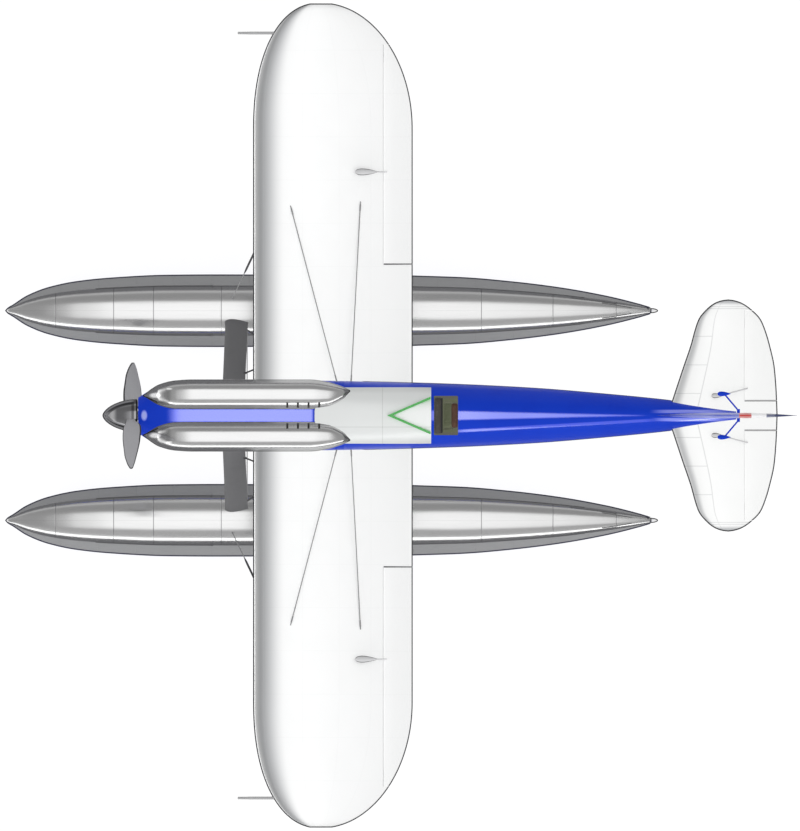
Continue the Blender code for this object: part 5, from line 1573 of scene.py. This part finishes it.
def dial(piece, y, z, radius, hand):
    """A dial on the instrument panel: a rolled rim, a dark face, marks round it and a hand at an angle."""
    x = DIAL_X
    rim = turned([(0.0, radius * 0.86), (0.006, radius * 0.88), (0.008, radius * 0.94), (0.006, radius),
                  (0.0, radius * 1.02)], (x, y, z), sides=36)
    piece.grid(rim, wrap=True, paint=0)
    face = turned([(0.0005, radius * 0.88), (0.0025, radius * 0.86), (0.0025, 0.0)], (x, y, z), sides=36)
    piece.grid(face, wrap=True, paint=1)
    for mark in np.radians(np.arange(0, 360, 30)):
        way = np.array([0.0, math.sin(mark), math.cos(mark)])
        line = np.array([x + 0.003, y, z]) + way * (radius * np.array([0.66, 0.80]))[:, None]
        piece.closed(swept(line, radius * 0.028, 4, 1.0, (1.0, 0.0, 0.0)), paint=2)
    way = np.array([0.0, math.sin(hand), math.cos(hand)])
    line = np.array([x + 0.0045, y, z]) + way * (radius * np.array([-0.15, 0.0, 0.62]))[:, None]
    piece.closed(swept(line, radius * np.array([0.05, 0.05, 0.012]), 6, 1.0, (1.0, 0.0, 0.0)), paint=2)


def make_cockpit():
    """Padded hood, instruments, bucket seat with its pads, and the stick's ring grip."""
    shape, seam = pad(*HOOD_PAD)
    hood = Piece("hood").grid(shape, wrap=True).grid(hoop(seam, 0.0035), wrap=True)
    hood.made("hood_pad", replaces=["cockpit_hood"], slot="brown_leather")
    # A black strip along the hood's back edge: a painted shadow in the gap there.
    edge = Piece("black").closed(swept([(0.4620, y, 2.762) for y in np.linspace(-0.192, 0.192, 20)], 0.0110))
    edge.made("hood_edge_shadow", slot="dark_steel")

    instruments = Piece("steel", "dial", "white")
    for place in DIALS:
        dial(instruments, *place)
    instruments.made("instrument_dials", slot="dark_steel")

    make_seat()
    x, level, radius, thickness = GRIP
    ring = turns(40)
    grip = np.column_stack([np.full(40, x), radius * np.sin(ring), level + radius * np.cos(ring)])
    Piece("hood").grid(hoop(grip, thickness), wrap=True).made("stick_grip", slot="brown_leather")


def make_seat():
    """Bucket seat, its cushion and its back pad.

    The bucket goes back over its first 0.3 and then up; its sides curl up as the fourth power of the distance out and
    narrow towards the top.
    """
    rise = np.linspace(0.0, 1.0, 40)[:, None]
    across = np.linspace(-1.0, 1.0, 33)[None, :]
    upright = (rise - 0.3) / 0.7
    x = np.where(rise < 0.3, 0.490 + rise / 0.3 * 0.112, 0.602 + upright * 0.036) - 0.012 * across**4
    z = np.where(rise < 0.3, 2.150, 2.150 + upright * 0.510)
    z = z + (0.070 * across**4 + 0.012 * across**2) * (1 - rise)
    bucket = Piece("olive").grid(np.stack(np.broadcast_arrays(x, across * (0.165 - 0.034 * rise), z), -1))
    bucket = bucket.made("seat_bucket", replaces=["pilot_seat"], slot="olive_paint")
    wall = bucket.modifiers.new("wall", "SOLIDIFY")
    wall.thickness = 0.003
    wall.offset = -1.0
    shape, seam = pad(*CUSHION)
    cushion = Piece("canvas").grid(shape, wrap=True).grid(hoop(seam, 0.003), wrap=True)
    cushion.made("seat_cushion", slot="brown_leather")
    back = Piece("leather").grid(pad(*BACK_PAD)[0], wrap=True)
    back.made("seat_back_pad", slot="brown_leather")


def dress_frame():
    """Finishes for the pieces of the frame that are kept as they are."""
    kept = {"engine_block": "soot", "windscreen_glass": "glass", "windscreen_frame": "green",
            "instrument_panel": "dial", "cockpit_lining": "olive", "control_stick": "steel",
            "propeller_shaft": "steel"}
    for node, finish in kept.items():
        if node in frame["nodes"]:
            frame["nodes"][node].data.materials.clear()
            frame["nodes"][node].data.materials.append(finish_of(finish))


def hide_from_metal(*starts):
    """Keeps pieces out of the reflections in the bright metal and white beside them, because the drawing has none."""
    for piece in bpy.data.objects:
        if piece.type == "MESH" and piece.name.startswith(starts):
            piece.visible_glossy = False
            piece.visible_diffuse = False


def make_camera():
    """The camera straight above, so far off that its lens shows one pixel as PIXEL on the wing's plane."""
    camera = bpy.data.objects.new("camera", bpy.data.cameras.new("camera"))
    camera.data.lens = LENS_MM
    camera.data.sensor_width = SENSOR_MM
    height = max(PICTURE) * PIXEL / 2 * LENS_MM / (SENSOR_MM / 2)
    camera.location = (0.0, 0.0, height + SCALE_PLANE_Z)
    camera.data.clip_end = 2 * height
    bpy.context.scene.collection.objects.link(camera)
    bpy.context.scene.camera = camera
    bpy.context.scene.view_settings.view_transform = "Standard"


def make_floor():
    """A pale floor with its own glow, dark where bright metal mirrors it."""
    side = np.linspace(-FLOOR_REACH, FLOOR_REACH, 13)
    across, along = np.meshgrid(side, side, indexing="ij")
    floor = bpy.data.meshes.new("floor")
    index = np.arange(169).reshape(13, 13)
    quads = np.stack([index[:-1, :-1], index[1:, :-1], index[1:, 1:], index[:-1, 1:]], -1).reshape(-1, 4)
    points = np.stack([across, along, np.full_like(across, -0.002)], -1).reshape(-1, 3)
    floor.from_pydata(points.tolist(), [], quads.tolist())
    paint = bpy.data.materials.new("floor")
    paint.use_nodes = True
    paint.node_tree.nodes.clear()
    recipe = Recipe(paint.node_tree)
    pale = recipe.node("BsdfDiffuse", {}, {"Color": (0.16, 0.16, 0.16, 1.0)})
    glow = recipe.node("Emission", {}, {"Color": (1.0, 1.0, 1.0, 1.0), "Strength": FLOOR_GLOW})
    lit = recipe.node("AddShader", {}, [pale, glow])
    dark = recipe.node("Emission", {}, {"Color": (0.20, 0.20, 0.21, 1.0), "Strength": 1.0})
    glossy = recipe.node("LightPath", {}, {}, "Is Glossy Ray")
    recipe.show(recipe.node("MixShader", {}, [glossy, lit, dark]), "OutputMaterial")
    floor.materials.append(paint)
    ground = bpy.data.objects.new("floor", floor)
    bpy.context.scene.collection.objects.link(ground)


def make_light():
    """Soft light from all round: a plain dome for matt paint, and for what mirrors it a long window and low strips.

    The window stands overhead, narrow along X; a strip lies low on the port side, one on the starboard side and one
    in front of the nose. Angles are in degrees from straight up.
    """
    world = bpy.data.worlds.new("studio")
    bpy.context.scene.world = world
    world.use_nodes = True
    world.node_tree.nodes.clear()
    sky = Recipe(world.node_tree)
    x, y, z = sky.split(sky.node("TexCoord", {}, {}, "Generated"))
    lean_x = abs(x.maths("ARCTAN2", x, z)) * math.degrees(1)
    lean_y = abs(y.maths("ARCTAN2", y, z)) * math.degrees(1)
    low = z.maths("ARCCOSINE", z) * math.degrees(1)
    window = (1 - lean_x.rise(0.0, 32.0)) * (1 - lean_y.rise(27.0, 37.0))
    port = (0 - y).rise(0.35, 0.8)
    starboard = y.rise(0.35, 0.8)
    front = (0 - x).rise(0.35, 0.8)
    above = 1 - low.rise(88.0, 92.0)
    strip = low.rise(70.0, 77.0) * above
    wide = low.rise(70.0, 79.0) * (1 - low.rise(89.0, 94.0)) * (1 - abs(y).rise(0.35, 0.65))
    strips = port * strip * PORT_STRIP_LIGHT + starboard * strip * STARBOARD_STRIP_LIGHT
    glare = window * WINDOW_LIGHT + strips + front * wide * FRONT_STRIP_LIGHT
    ring = port * 0.14 - starboard * 0.04 + RING_LIGHT
    mirrored = (ring * above + (1 - above) * BELOW_LIGHT) * (1 - window) + glare
    dome = DOME_LIGHT - y * 0.40
    path = sky.node("LightPath", {}, {}, "Is Glossy Ray")
    seen = sky.node("LightPath", {}, {}, "Is Camera Ray")
    strength = mirrored * path + (1 - path) * (dome * (1 - seen) + seen)
    sky.show(sky.node("Background", {}, {"Color": (1.0, 1.0, 1.0, 1.0), "Strength": strength}), "OutputWorld")


make_finishes()
make_camera()
make_floor()
make_light()
make_fuselage()
make_banks()
make_exhausts()
make_wings()
make_tail()
make_floats()
make_struts()
make_wires()
make_propeller()
make_cockpit()
dress_frame()
hide_from_metal("cowl_", "centre_", "tail_shell", "fin_", "rudder_", "front_strut", "rear_strut", "oil_cooler",
                "bank_cover", "deck_panel", "breather", "exhaust_row", "side_wire", "spreader", "seat_", "hood_",
                "instrument_dials", "stick_grip", "engine_block", "cockpit_lining")
